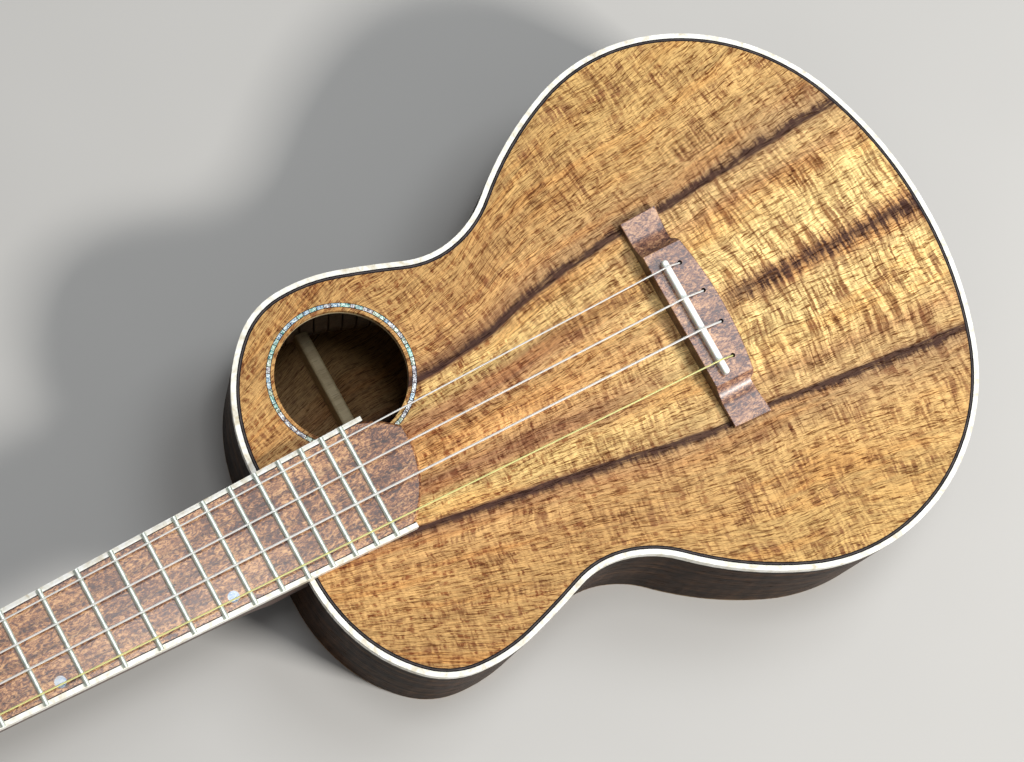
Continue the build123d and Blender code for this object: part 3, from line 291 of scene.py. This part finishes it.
class Koa(Finish):
    """Bookmatched koa: bands along X, curl across it, a dark streak on each half and one between
    them at the tail. Figure is the strength of its curl."""

    def __init__(self, name, seed, figure):
        super().__init__(name)
        self.seed = seed
        self.figure = figure
        self.side = self.math("SIGN", self.y)
        self.half = self.math("ABSOLUTE", self.y)
        self.treble = self.ease(self.y, -1, 1)
        self.neckward = self.ease(self.x, -5, -60)
        self.in_tail = self.times(self.ease(self.x, 5, 75), self.ease(self.half, 58, 34))
        self.lay_grain()
        self.lay_curl()

    def along(self, size, number, **settings):
        """Noise that follows the grain. The number tells one layer from another."""
        return self.noise(size, where=self.grain, seed=self.seed + number, **settings)

    def waver(self, size, amount, number, **settings):
        """Noise along the grain that swings from about -amount to amount."""
        return self.swing(size, amount, where=self.grain, seed=self.seed + number, **settings)

    def lay_grain(self):
        """How far each point is across the grain, which fans out with the streaks and wavers."""
        spread = self.add(
            STREAK_START,
            self.times(self.x, STREAK_SPREAD),
            self.times(self.x, self.x, STREAK_BEND),
            self.times(self.ease(self.x, -40, 5), self.ease(self.x, 60, 22), 2.2),
            self.times(self.ease(self.x, -90, -65), self.ease(self.x, -20, -45), self.treble, -2.4),
        )
        fanned = self.times(self.math("DIVIDE", self.half, spread), STREAK_START)
        flat = self.vector(self.x, fanned, 0.0)
        sided = self.vector(self.x, self.times(fanned, self.side), 0.0)
        self.across = self.add(
            fanned,
            self.swing((60, 22, 1), 1.6, where=flat, seed=self.seed),
            self.swing((10, 3, 1), 0.8, where=sided, seed=self.seed + 1),
        )
        self.grain = self.vector(self.x, self.times(self.across, self.side), 0.0)
        self.book = self.vector(self.x, self.across, 0.0)

    def lay_curl(self):
        """Narrow and broad bars across the grain, broken where one fibre slips past the next."""
        slip = self.add(
            self.waver((7, 0.6, 1), 0.8, 6, detail=2.0, roughness=0.6),
            self.swing((50, 26, 1), 3.5, where=self.book, seed=self.seed + 7),
            self.times(self.across, 0.10),
        )
        slipped = self.vector(self.add(self.x, slip), self.times(self.across, self.side), 0.0)
        self.narrow = self.noise((1.25, 11, 1), where=slipped, detail=2.0, seed=self.seed + 8)
        broad = self.noise((3.6, 15, 1), where=slipped, detail=3.0, roughness=0.6, seed=self.seed + 9)
        patches = self.ease(self.along((34, 15, 1), 10, detail=2.0), 0.44, 0.66)
        narrow_share = self.add(0.10, self.times(patches, 0.46), self.times(self.in_tail, 0.46))
        broad_share = self.add(0.04, self.times(patches, 0.36), self.times(self.in_tail, 0.36))
        self.bars = self.times(
            self.add(
                self.times(self.ease(self.narrow, 0.48, 0.66), narrow_share),
                self.times(self.ease(broad, 0.50, 0.64), broad_share),
            ),
            self.figure,
        )

    def banded(self):
        """The bands along the grain, with slow drift, fine lines and warm patches."""
        place = self.math("DIVIDE", self.across, BAND_REACH)
        neck_bands = self.ramp(place, *NECK_BANDS)
        tail_bands = self.ramp(place, *TAIL_BANDS)
        tailward = self.ease(self.add(self.x, self.waver((60, 12, 1), 40, 2)), -40, 60)
        wood = self.mix(tailward, neck_bands, tail_bands)
        drift = self.waver((120, 9, 1), 0.30, 3, detail=3.0, roughness=0.6)
        lines = self.waver((32, 1.0, 1), 0.62, 4, detail=4.0, roughness=0.75)
        wood = self.tone(wood, self.add(1.0, drift, lines))
        warmth = self.ease(self.along((70, 8, 1), 5, detail=2.0), 0.50, 0.70)
        return self.stain(wood, self.times(warmth, 0.45), WARM_DYE)

    def curled(self, wood):
        """Wood with its curl, and the glints between the bars."""
        glints = self.times(
            self.ease(self.narrow, 0.47, 0.36),
            self.add(0.12, self.times(self.in_tail, 0.24)),
            self.figure,
        )
        wood = self.stain(wood, self.math("MINIMUM", self.bars, 0.9), BAR_DYE)
        return self.tone(wood, self.add(1.0, glints))

    def mottled(self, wood):
        """Wood with brown mottling, strongest at the neck, darker edges and a few blots."""
        mottle = self.times(
            self.ease(self.along((7, 3.2, 1), 17, detail=4.0, roughness=0.75), 0.47, 0.60),
            self.ease(self.narrow, 0.36, 0.60),
            self.add(0.62, self.times(self.in_tail, -0.5), self.times(self.neckward, 0.3)),
            self.figure,
        )
        wood = self.stain(wood, mottle, MOTTLE_DYE)
        edgeward = self.times(self.ease(self.half, 44, 62), self.ease(self.x, 150, -20, 0.06, 0.12))
        wood = self.tone(wood, self.math("SUBTRACT", 1.0, edgeward))
        blots = self.times(
            self.ease(self.along((18, 8, 1), 11, detail=3.0), 0.54, 0.68),
            self.ease(self.narrow, 0.38, 0.58),
            0.60 * self.figure,
        )
        return self.mix(blots, wood, BLOT_BROWN)

    def side_streak(self):
        """The streak on each half: its brown margin, ragged on the outer side, and its core."""
        ink = self.along((15, 0.8, 1), 12, detail=3.0, roughness=0.65)
        off = self.math("SUBTRACT", self.across, STREAK_START)
        teeth = self.add(
            off,
            self.times(self.ease(self.narrow, 0.42, 0.62), -0.9),
            self.swing((14, 5, 1), 1.8, where=self.grain, detail=3.0),
        )
        reach = self.add(5.0, self.times(self.neckward, self.add(1.5, self.times(self.treble, 5.0))))
        margin = self.times(
            self.ease(off, -3.0, -0.6),
            self.math("SUBTRACT", 1.0, self.ease(teeth, 0.0, reach)),
            self.add(0.50, self.times(self.neckward, 0.42)),
            self.ease(self.add(ink, self.times(self.neckward, 0.2)), 0.26, 0.50),
        )
        core_start = self.ease(self.x, -60, 60, 0.9, 0.5)
        core_end = self.ease(self.x, -60, 60, 4.4, 2.7)
        broken_ink = self.add(ink, self.times(self.ease(self.narrow, 0.60, 0.42), -0.04))
        core = self.times(
            self.ease(off, -1.3, -0.5),
            self.math("SUBTRACT", 1.0, self.ease(teeth, core_start, core_end)),
            self.ease(broken_ink, 0.16, 0.42),
        )
        return margin, core

    def centre_streak(self):
        """The streak along the centreline, at the tail only: its margin and its core."""
        middle = self.add(self.y, -1.0, self.swing((22, 5, 1), 2.4, seed=self.seed + 13))
        notches = self.times(self.ease(self.narrow, 0.40, 0.62), -3.5)
        teeth = self.add(self.math("ABSOLUTE", middle), notches)
        reach = self.ease(self.x, 45, 150, 5.0, 8.0)
        ink = self.noise((11, 0.9, 1), detail=4.0, roughness=0.7, seed=self.seed + 14)
        core = self.times(
            self.math("SUBTRACT", 1.0, self.ease(self.add(teeth, 1.6), 0.3, self.times(reach, 0.62))),
            self.ease(self.x, 45, 75),
            self.ease(self.add(ink, self.ease(self.x, 95, 125, 0.0, 0.14)), 0.36, 0.52),
        )
        margin = self.times(
            self.math("SUBTRACT", 1.0, self.ease(teeth, 0.0, reach)),
            self.ease(self.x, 40, 70),
            0.62,
        )
        return margin, core

    def streaked(self, wood):
        """Wood with its three dark streaks."""
        margin, core = self.side_streak()
        centre_margin, centre_core = self.centre_streak()
        brown = self.math("MAXIMUM", margin, centre_margin, clamp=True)
        black = self.math("MAXIMUM", core, centre_core, clamp=True)
        wood = self.mix(brown, wood, STREAK_BROWN)
        return self.mix(self.times(black, 0.92), wood, STREAK_BLACK)


def koa_plate(name, seed, shade=1.0, figure=1.0):
    """Koa with its pores, the long ones rough and slightly sunk. Shade darkens the whole plate."""
    koa = Koa(name, seed, figure)
    wood = koa.streaked(koa.mottled(koa.curled(koa.banded())))
    long_pore = koa.ease(koa.along((5.8, 0.44, 1), 15, detail=1.0), 0.56, 0.63)
    fine_pore = koa.ease(koa.along((3.6, 0.30, 1), 16, detail=2.0, roughness=0.6), 0.49, 0.62)
    pores = koa.add(koa.times(long_pore, 0.66), koa.times(fine_pore, 0.50))
    wood = koa.tone(koa.stain(wood, pores, PORE_DYE), KOA_LIGHTNESS)
    balance = tuple(part * shade for part in KOA_BALANCE)
    wood = koa.mix(1.0, wood, (*balance, 1.0), blend="MULTIPLY")
    koa.bump(koa.math("SUBTRACT", 1.0, long_pore), 0.05)
    gloss = koa.add(0.44, koa.times(long_pore, 0.25), koa.times(koa.bars, 0.10))
    return koa.paint(wood, gloss, specular_ior_level=0.14)


def koa_side(name):
    """Quarter-cut koa whose lines run along the side, dark brown: partly its own colour, partly painted shade for
    the shadow the sides lie in.
    """
    look = Finish(name)
    level = look.add(look.z, look.times(look.x, -0.02), look.swing((60, 60, 12), 1.5))
    grain = look.vector(look.x, look.y, level)
    bands = look.swing((90, 90, 5), 0.5, where=grain, detail=3.0, roughness=0.65)
    lines = look.swing((30, 30, 0.8), 0.5, where=grain, detail=3.0, roughness=0.7, seed=1)
    curl = look.swing((4, 4, 22), 0.22, where=grain, seed=2)
    # painted shade: these stops darken the koa's own brown to stand for the shadow on the sides
    wood = look.ramp(
        look.add(0.5, bands, lines, curl),
        (0.15, srgb(12, 7, 5)),
        (0.42, srgb(34, 22, 15)),
        (0.62, srgb(62, 42, 28)),
        (0.90, srgb(104, 74, 48)),
    )
    pore = look.ease(look.noise((6, 6, 0.4), where=grain, detail=1.0, seed=3), 0.6, 0.7)
    wood = look.mix(look.times(pore, 0.6), wood, srgb(26, 15, 11))
    look.bump(look.math("SUBTRACT", 1.0, pore), 0.04)
    return look.paint(wood, look.add(0.34, look.times(pore, 0.25)), specular_ior_level=0.01)


def burl(name, shades, scale=1.0, violet=0.3):
    """Burl: pale swirls broken up by small dark clouds, in shades from dark to light. Its sides get
    painted shade: faces that turn away from up are darker. Violet is how far patches of it turn purple."""
    look = Finish(name)
    clouds = look.noise((13 * scale, 9 * scale, 9), detail=3.0, roughness=0.6, distortion=0.8, seed=1)
    flecks = look.noise((1.7, 1.1, 1.1), detail=4.0, roughness=0.7, distortion=0.8, seed=2)
    swirl_size = (3.4 * scale, 1.2 * scale, 2.2)
    swirl = look.noise(swirl_size, detail=3.0, roughness=0.6, distortion=1.8 * scale, seed=3)
    tone = look.add(look.times(clouds, 0.7), look.times(flecks, 1.25), look.times(swirl, 1.0), -0.99)
    wood = look.ramp(tone, *zip((0.22, 0.38, 0.50, 0.60, 0.76), shades))
    patches = look.ease(look.noise((16, 9, 9), detail=2.0, seed=6), 0.42, 0.60)
    wood = look.stain(wood, look.times(patches, violet), srgb(226, 216, 240))
    normal_for_side_shade = look.node("ShaderNodeSeparateXYZ")
    look.tree.links.new(look.node("ShaderNodeNewGeometry").outputs["Normal"], normal_for_side_shade.inputs[0])
    # painted shade: faces turned away from up, such as the bridge's and board's sides, are darkened
    wood = look.tone(wood, look.ease(look.math("ABSOLUTE", normal_for_side_shade.outputs[2]), 0.25, 0.6, 0.32, 1.0))
    look.bump(flecks, 0.03)
    return look.paint(wood, look.add(0.28, look.times(flecks, 0.2)), coat_weight=0.5, coat_roughness=0.2)


def plain_wood(name, light, dark, size, roughness, seed):
    """Straight-grained wood: size is the spacing of its bands."""
    look = Finish(name)
    bands = look.noise((25 * size, size, size), detail=4.0, roughness=0.6, distortion=0.3, seed=seed)
    lines = look.noise((9 * size, 0.25 * size, 0.25 * size), detail=3.0, roughness=0.7, seed=seed + 1)
    tone = look.add(look.times(bands, 0.7), look.times(lines, 0.5), -0.1)
    wood = look.ramp(tone, (0.25, dark), (0.75, light))
    pore = look.ease(look.noise((4, 0.3, 0.3), detail=1.0, seed=seed + 2), 0.6, 0.7)
    wood = look.mix(look.times(pore, 0.5), wood, between(dark, BLACK, 0.5))
    look.bump(look.math("SUBTRACT", 1.0, pore), 0.04)
    return look.paint(wood, roughness)


def curly_maple(name):
    """Pale maple with curl across it."""
    look = Finish(name)
    curl = look.noise((3.2, 3.2, 8), detail=2.0, distortion=0.6)
    lines = look.noise((12, 12, 0.5), detail=2.0, seed=1)
    wood = look.ramp(
        look.add(look.times(curl, 0.8), look.times(lines, 0.2)),
        (0.30, srgb(206, 194, 166)),
        (0.50, srgb(238, 235, 222)),
        (0.66, srgb(250, 249, 244)),
    )
    look.bump(lines, 0.01)
    return look.paint(wood, 0.34, coat_weight=0.3, coat_roughness=0.2)


def dyed_line(name, dark, light):
    """A fine line of dyed wood."""
    look = Finish(name)
    wood = look.ramp(look.noise((4, 4, 2), detail=3.0), (0.3, dark), (0.7, light))
    return look.paint(wood, 0.5, specular_ior_level=0.1)


# ---------------------------------------------------------------- shell, bone, metal, nylon
def abalone(name, shades, seed):
    """Shell that drifts between three shades, broken by dark growth lines and white glints."""
    look = Finish(name)
    drift = look.noise((3, 3, 3), detail=3.0, roughness=0.6, distortion=1.5, seed=seed)
    colour = look.ramp(drift, *zip((0.38, 0.50, 0.62), shades))
    growth = look.noise((0.9, 0.9, 0.9), detail=3.0, roughness=0.7, distortion=1.5, seed=seed + 1)
    colour = look.mix(look.ease(growth, 0.47, 0.38), colour, srgb(40, 42, 46))
    colour = look.mix(look.ease(growth, 0.52, 0.58), colour, srgb(244, 252, 246))
    return look.paint(colour, 0.2, metallic=0.2, coat_weight=0.6, coat_roughness=0.08)


def pearl(name):
    """Mother-of-pearl with blue and grey swirls."""
    look = Finish(name)
    swirl = look.noise((3, 2, 2), detail=3.0, distortion=2.0)
    colour = look.ramp(
        swirl,
        (0.3, srgb(98, 126, 160)),
        (0.5, srgb(150, 164, 178)),
        (0.7, srgb(178, 172, 166)),
    )
    return look.paint(colour, 0.22, metallic=0.1, coat_weight=0.3, coat_roughness=0.12)


def bone(name):
    """Bone, cloudy and faintly specked."""
    look = Finish(name)
    cloud = look.noise((9, 9, 4), detail=3.0)
    specks = look.noise((1.6, 0.5, 0.5), detail=2.0, seed=1)
    colour = look.ramp(cloud, (0.3, srgb(238, 236, 226)), (0.7, srgb(252, 252, 248)))
    colour = look.mix(look.times(look.ease(specks, 0.62, 0.75), 0.25), colour, srgb(196, 184, 152))
    look.bump(specks, 0.01)
    return look.paint(colour, 0.28, subsurface_weight=0.1, coat_weight=0.3, coat_roughness=0.15)


def metal(name, colour, roughness, wear, metallic=1.0):
    """Metal with smears and fine scratches. Wear is how much they roughen it."""
    look = Finish(name)
    smear = look.noise((6, 2, 2), detail=4.0, roughness=0.7)
    scratch = look.noise((5, 0.2, 0.2), detail=2.0, seed=1)
    tint = look.ramp(smear, (0.3, between(colour, BLACK, 0.18)), (0.7, colour))
    rough = look.add(roughness, look.times(smear, wear), look.times(scratch, wear))
    look.bump(scratch, 0.004)
    return look.paint(tint, rough, metallic=metallic)


def nylon(name, colour):
    """Nylon, partly see-through."""
    look = Finish(name)
    cloud = look.noise((14, 2, 2), detail=2.0)
    tint = look.ramp(cloud, (0.3, between(colour, BLACK, 0.08)), (0.7, colour))
    return look.paint(tint, look.add(0.22, look.times(cloud, 0.12)), transmission_weight=0.4, ior=1.5)


def black_gloss(name):
    """Polished black plastic with faint smears."""
    look = Finish(name)
    smear = look.noise((8, 8, 8), detail=4.0, roughness=0.7)
    colour = look.ramp(smear, (0.3, srgb(24, 20, 20)), (0.7, srgb(44, 36, 34)))
    return look.paint(colour, look.add(0.14, look.times(smear, 0.12)), coat_weight=0.5, coat_roughness=0.06)


SHELL_SHADES = [
    (srgb(74, 140, 140), srgb(140, 206, 190), srgb(206, 232, 206)),
    (srgb(104, 100, 108), srgb(170, 158, 166), srgb(214, 208, 208)),
    (srgb(84, 116, 160), srgb(146, 184, 208), srgb(196, 214, 224)),
    (srgb(88, 104, 88), srgb(160, 184, 154), srgb(218, 228, 204)),
]
BRIDGE_SHADES = [
    srgb(58, 36, 36),
    srgb(97, 63, 54),
    srgb(142, 98, 74),
    srgb(176, 129, 94),
    srgb(210, 166, 124),
]
BOARD_SHADES = [
    srgb(54, 28, 20),
    srgb(96, 56, 38),
    srgb(146, 96, 60),
    srgb(184, 132, 86),
    srgb(216, 170, 118),
]
FINISHES = {
    "koa_top": koa_plate("koa_top", 0.0),
    "koa_body": koa_side("koa_body"),
    "maple_binding": curly_maple("maple_binding"),
    "black_trim": dyed_line("black_trim", srgb(8, 8, 12), srgb(22, 22, 28)),
    "grey_trim": dyed_line("grey_trim", srgb(56, 50, 50), srgb(84, 76, 74)),
    "abalone": abalone("abalone", SHELL_SHADES[0], 4),
    "mahogany": plain_wood("mahogany", srgb(92, 60, 42), srgb(48, 30, 22), 5, 0.42, 1),
    "spruce": plain_wood("spruce", srgb(222, 206, 166), srgb(182, 160, 120), 1.6, 0.6, 4),
    "burl": burl("burl", BRIDGE_SHADES),
    "nickel": metal("nickel", srgb(236, 244, 232), 0.30, 0.16, 0.8),
    "steel": metal("steel", srgb(170, 170, 172), 0.3, 0.2),
    "pearl": pearl("pearl"),
    "bone": bone("bone"),
    "nylon": nylon("nylon", srgb(250, 250, 246)),
    "nylon_yellow": nylon("nylon_yellow", srgb(250, 248, 170)),
    "tuner_metal": metal("tuner_metal", srgb(214, 212, 206), 0.10, 0.14),
    "tuner_brass": metal("tuner_brass", srgb(204, 168, 96), 0.2, 0.2),
    "button": black_gloss("button"),
}
KOA_BACK = koa_plate("koa_back", 20.0, 0.45, 0.3)
BOARD_BURL = burl("board_burl", BOARD_SHADES, 1.6, 0.1)
# painted light: paler than the linings' own wood, so that they are not lost in the dim inside of the body
LINING = plain_wood("lining", srgb(214, 190, 160), srgb(160, 136, 110), 3, 0.6, 7)
SHELLS = [FINISHES["abalone"]]
for number, shades in enumerate(SHELL_SHADES[1:], 2):
    SHELLS.append(abalone(f"abalone_{number}", shades, 4 * number))

for part in frame["record"]["subparts"]:
    node = frame["nodes"][part["node"]]
    finish = FINISHES[part["material_slot"]]
    if part["node"].startswith("back_") and part["material_slot"] == "koa_body":
        finish = KOA_BACK
    if part["node"] == "fretboard":
        finish = BOARD_BURL
    node.data.materials.clear()
    node.data.materials.append(finish)

# ---------------------------------------------------------------- pieces with finer shapes
TOP_TURN = Matrix.Rotation(-TOP_TILT, 4, "Y")
TOP_FRAME = Matrix.Translation((0, 0, TOP_LEVEL * MM)) @ TOP_TURN @ Matrix.Scale(MM, 4)
BACK_FRAME = Matrix.Translation((0, 0, BACK_THICKNESS * MM)) @ Matrix.Scale(MM, 4)


def place_mesh(name, mesh, finishes, body, slot_name, *nodes):
    """Puts bmesh geometry in the scene as a piece that rides on a body and stands for CAD nodes."""
    bmesh.ops.recalc_face_normals(mesh, faces=mesh.faces)
    data = bpy.data.meshes.new(name)
    mesh.to_mesh(data)
    mesh.free()
    for finish in finishes:
        data.materials.append(finish)
    piece = bpy.data.objects.new(name, data)
    bpy.context.scene.collection.objects.link(piece)
    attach(piece, body)
    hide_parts(*nodes)


def add_bar(mesh, frame_of, sections, material=0):
    """A closed bar through sections, each a list of points in a frame."""
    rings = [[mesh.verts.new(frame_of @ Vector(point)) for point in section] for section in sections]
    faces = [mesh.faces.new(rings[0]), mesh.faces.new(rings[-1])]
    for ring, after in zip(rings, rings[1:]):
        for corner in range(len(ring)):
            next_corner = (corner + 1) % len(ring)
            corners = (ring[corner], ring[next_corner], after[next_corner], after[corner])
            faces.append(mesh.faces.new(corners))
    for face in faces:
        face.material_index = material


def rosette_tiles():
    """The ring of shell as short pieces set end to end, each a little different."""
    shuffle = random.Random(TILE_SEED)
    mesh = bmesh.new()
    inner = SHELL_RADII[0] + TILE_INSET
    outer = SHELL_RADII[1] - TILE_INSET
    profile = ((inner, -TILE_DEPTH), (inner, 0.0), (outer, 0.0), (outer, -TILE_DEPTH))
    angle = 0.0
    while angle < 2 * math.pi - LAST_TILE:
        length = shuffle.uniform(*TILE_LENGTH) / SHELL_RADII[1]
        stop = min(angle + length, 2 * math.pi)
        sections = []
        for step in range(TILE_STEPS + 1):
            turn = angle + (stop - angle - TILE_GAP / outer) * step / TILE_STEPS
            across = math.cos(turn)
            along = math.sin(turn)
            section = []
            for radius, level in profile:
                section.append((HOLE_PLACE[0] + radius * across, HOLE_PLACE[1] + radius * along, level))
            sections.append(section)
        add_bar(mesh, TOP_FRAME, sections, shuffle.randrange(len(SHELLS)))
        angle = stop
    place_mesh("rosette_tiles", mesh, SHELLS, "body", "abalone", "rosette_shell")


def inner_wall(node, frame_of, level, side):
    """Points along the inner face of a lining, from neck to tail, on one side of the body."""
    tree = BVHTree.FromPolygons(
        [node.matrix_world @ vertex.co for vertex in node.data.vertices],
        [polygon.vertices for polygon in node.data.polygons],
    )
    back_again = frame_of.inverted()
    wall = []
    for step in range(WALL_STEPS):
        x = WALL_REACH * (2 * step / (WALL_STEPS - 1) - 1)
        start = frame_of @ Vector((x, 0, level))
        ahead = (frame_of @ Vector((x, side, level)) - start).normalized()
        hit = tree.ray_cast(start, ahead)[0]
        if hit is not None:
            wall.append((back_again @ hit).xy)
    return wall


def lining_stations(wall, side):
    """Places a stride apart along a wall, each with the directions ahead and out of the body."""
    places = [wall[0]]
    for point in wall[1:]:
        if (point - places[-1]).length >= WALL_STRIDE:
            places.append(point)
    stations = []
    for point, after in zip(places, places[1:]):
        ahead = (after - point).normalized()
        out = Vector((-ahead.y, ahead.x)) * side
        stations.append((point, ahead, out))
    return stations


def lining_sections(stations, near, up):
    """A lining's profile at each station, from near, measured out from its inner face, to the rib."""
    far = LINING_WIDTH - RIB_GAP
    profile = (
        (near, 0.0),
        (far, 0.0),
        (far, up * LINING_HEIGHT),
        (max(near, LINING_WIDTH - LINING_TOE), up * LINING_HEIGHT),
        (near, up * LINING_HEIGHT * LINING_SHOULDER),
    )
    return [[(*(point + out * reach), level) for reach, level in profile] for point, ahead, out in stations]


def kerfed_lining(name, node_name, frame_of, up):
    """A lining sawn into small blocks that hang on a thin strip, with their free edge tapered away."""
    node = frame["nodes"][node_name]
    mesh = bmesh.new()
    for side in (1, -1):
        wall = inner_wall(node, frame_of, up * LINING_HEIGHT / 2, side)
        stations = lining_stations(wall, side)
        for start in range(0, len(stations) - BLOCK_STRIDES, BLOCK_STRIDES):
            block = stations[start : start + BLOCK_STRIDES + 1]
            point, ahead, out = block[-1]
            block[-1] = (point - ahead * KERF_WIDTH, ahead, out)
            add_bar(mesh, frame_of, lining_sections(block, 0.0, up))
        add_bar(mesh, frame_of, lining_sections(stations, LINING_WIDTH - STRIP_WIDTH, up))
    place_mesh(name, mesh, [LINING], "body", "mahogany", node_name)


def string_winding(letter):
    """The string's turns round its post, one under the other, from the place where it arrives."""
    string = frame["nodes"][f"string_{letter}"]
    joint = next(joint for joint in frame["joints"] if joint["name"] == f"post_{letter}_turn")
    axis = Vector(joint["axis"]).normalized()
    centre = Vector(joint["pos_m"])
    corners = [string.matrix_world @ vertex.co for vertex in string.data.vertices]
    corners.sort(key=lambda corner: corner.x)
    cap = [corner for corner in corners if corner.x < corners[0].x + CAP_DEPTH * MM]
    arrival = sum(cap, Vector()) / len(cap)
    rise = (arrival - centre).dot(axis)
    arm = arrival - centre - axis * rise
    thickness = STRING_SIZES[letter] * MM
    turning = 1 if letter in "gc" else -1
    slot_name = "nylon_yellow" if letter == "g" else "nylon"
    curve = bpy.data.curves.new(f"winding_{letter}", "CURVE")
    curve.dimensions = "3D"
    curve.bevel_depth = thickness / 2
    curve.bevel_resolution = 4
    curve.use_fill_caps = True
    spline = curve.splines.new("POLY")
    spline.points.add(TURN_STEPS * WINDING_TURNS)
    for step, point in enumerate(spline.points):
        turn = Matrix.Rotation(turning * 2 * math.pi * step / TURN_STEPS, 3, axis)
        fall = thickness * WINDING_PITCH * step / TURN_STEPS
        point.co = (*(centre + axis * (rise - fall) + turn @ arm), 1.0)
    curve.materials.append(FINISHES[slot_name])
    piece = bpy.data.objects.new(f"winding_{letter}", curve)
    bpy.context.scene.collection.objects.link(piece)
    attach(piece, f"post_{letter}")
    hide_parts(f"string_winding_{letter}")


rosette_tiles()
UNDER_TOP = TOP_FRAME @ Matrix.Translation((0, 0, -TOP_THICKNESS))
kerfed_lining("top_kerfs", "top_linings", UNDER_TOP, -1)
kerfed_lining("back_kerfs", "back_linings", BACK_FRAME, 1)
for letter in STRING_SIZES:
    string_winding(letter)

# ---------------------------------------------------------------- floor, light and camera
CAMERA_PLACE = Vector((-350.8, -140.0, 1050.8)) * MM
CAMERA_AIM = Vector((-43.36, 10.94, 72.02)) * MM
CAMERA_ROLL = math.radians(36.0)
LENS = 88.43
SENSOR_WIDTH = 36.0
FLOOR_SIZE = 8.0
SKY_COLOUR = (0.93, 0.96, 1.0, 1.0)
SKY_STRENGTH = 0.19
BODY_MIDDLE = (0, 0, 0.07)
HOLE_SIDE = (-0.1, 0.04, 0.07)


def aimed(direction, roll=0.0):
    """The turn that points an object's -Z along a direction, then rolls it about that direction."""
    turn = direction.to_track_quat("-Z", "Y").to_matrix()
    return (turn @ Matrix.Rotation(roll, 3, "Z")).to_euler()


def add_area(name, place, target, size, power, colour):
    """A soft light at a place, turned towards a target."""
    lamp = bpy.data.lights.new(name, "AREA")
    lamp.shape = "RECTANGLE"
    lamp.size, lamp.size_y = size
    lamp.energy = power
    lamp.color = colour
    thing = bpy.data.objects.new(name, lamp)
    thing.location = place
    thing.rotation_euler = aimed(Vector(target) - Vector(place))
    bpy.context.scene.collection.objects.link(thing)


def add_stage():
    """A plain pale floor under the object."""
    low, high = CAD_BOX
    middle = (Vector(low) + Vector(high)) / 2
    bpy.ops.mesh.primitive_plane_add(size=FLOOR_SIZE, location=(middle.x, middle.y, low[2]))
    floor = bpy.context.object
    floor.name = "floor"
    look = Finish("floor")
    cloud = look.noise((300, 300, 300), detail=3.0)
    colour = look.ramp(cloud, (0.3, srgb(184, 182, 178)), (0.7, srgb(192, 190, 186)))
    floor.data.materials.append(look.paint(colour, 0.7))


def add_camera():
    """The camera, above the neck on the bass side, looking down at the body."""
    camera = bpy.data.cameras.new("camera")
    camera.lens = LENS
    camera.sensor_width = SENSOR_WIDTH
    camera.clip_end = 20.0
    thing = bpy.data.objects.new("camera", camera)
    thing.location = CAMERA_PLACE
    thing.rotation_euler = aimed(CAMERA_AIM - CAMERA_PLACE, CAMERA_ROLL)
    bpy.context.scene.collection.objects.link(thing)
    bpy.context.scene.camera = thing


def add_world():
    """Faint even light from all round."""
    world = bpy.data.worlds.new("studio")
    world.use_nodes = True
    sky = world.node_tree.nodes["Background"]
    sky.inputs["Color"].default_value = SKY_COLOUR
    sky.inputs["Strength"].default_value = SKY_STRENGTH
    bpy.context.scene.world = world
    bpy.context.scene.view_settings.view_transform = "Standard"


add_stage()
add_world()
add_area("window", (1.05, -1.55, 1.55), BODY_MIDDLE, (0.5, 0.4), 61.0, (1.0, 0.98, 0.95))
add_area("overhead", (0.55, 0.15, 1.35), BODY_MIDDLE, (0.6, 0.6), 6.5, (0.90, 0.95, 1.0))
add_area("fill", (-0.12, 0.05, 1.5), HOLE_SIDE, (0.3, 0.3), 4.4, (0.97, 0.98, 1.0))
add_camera()
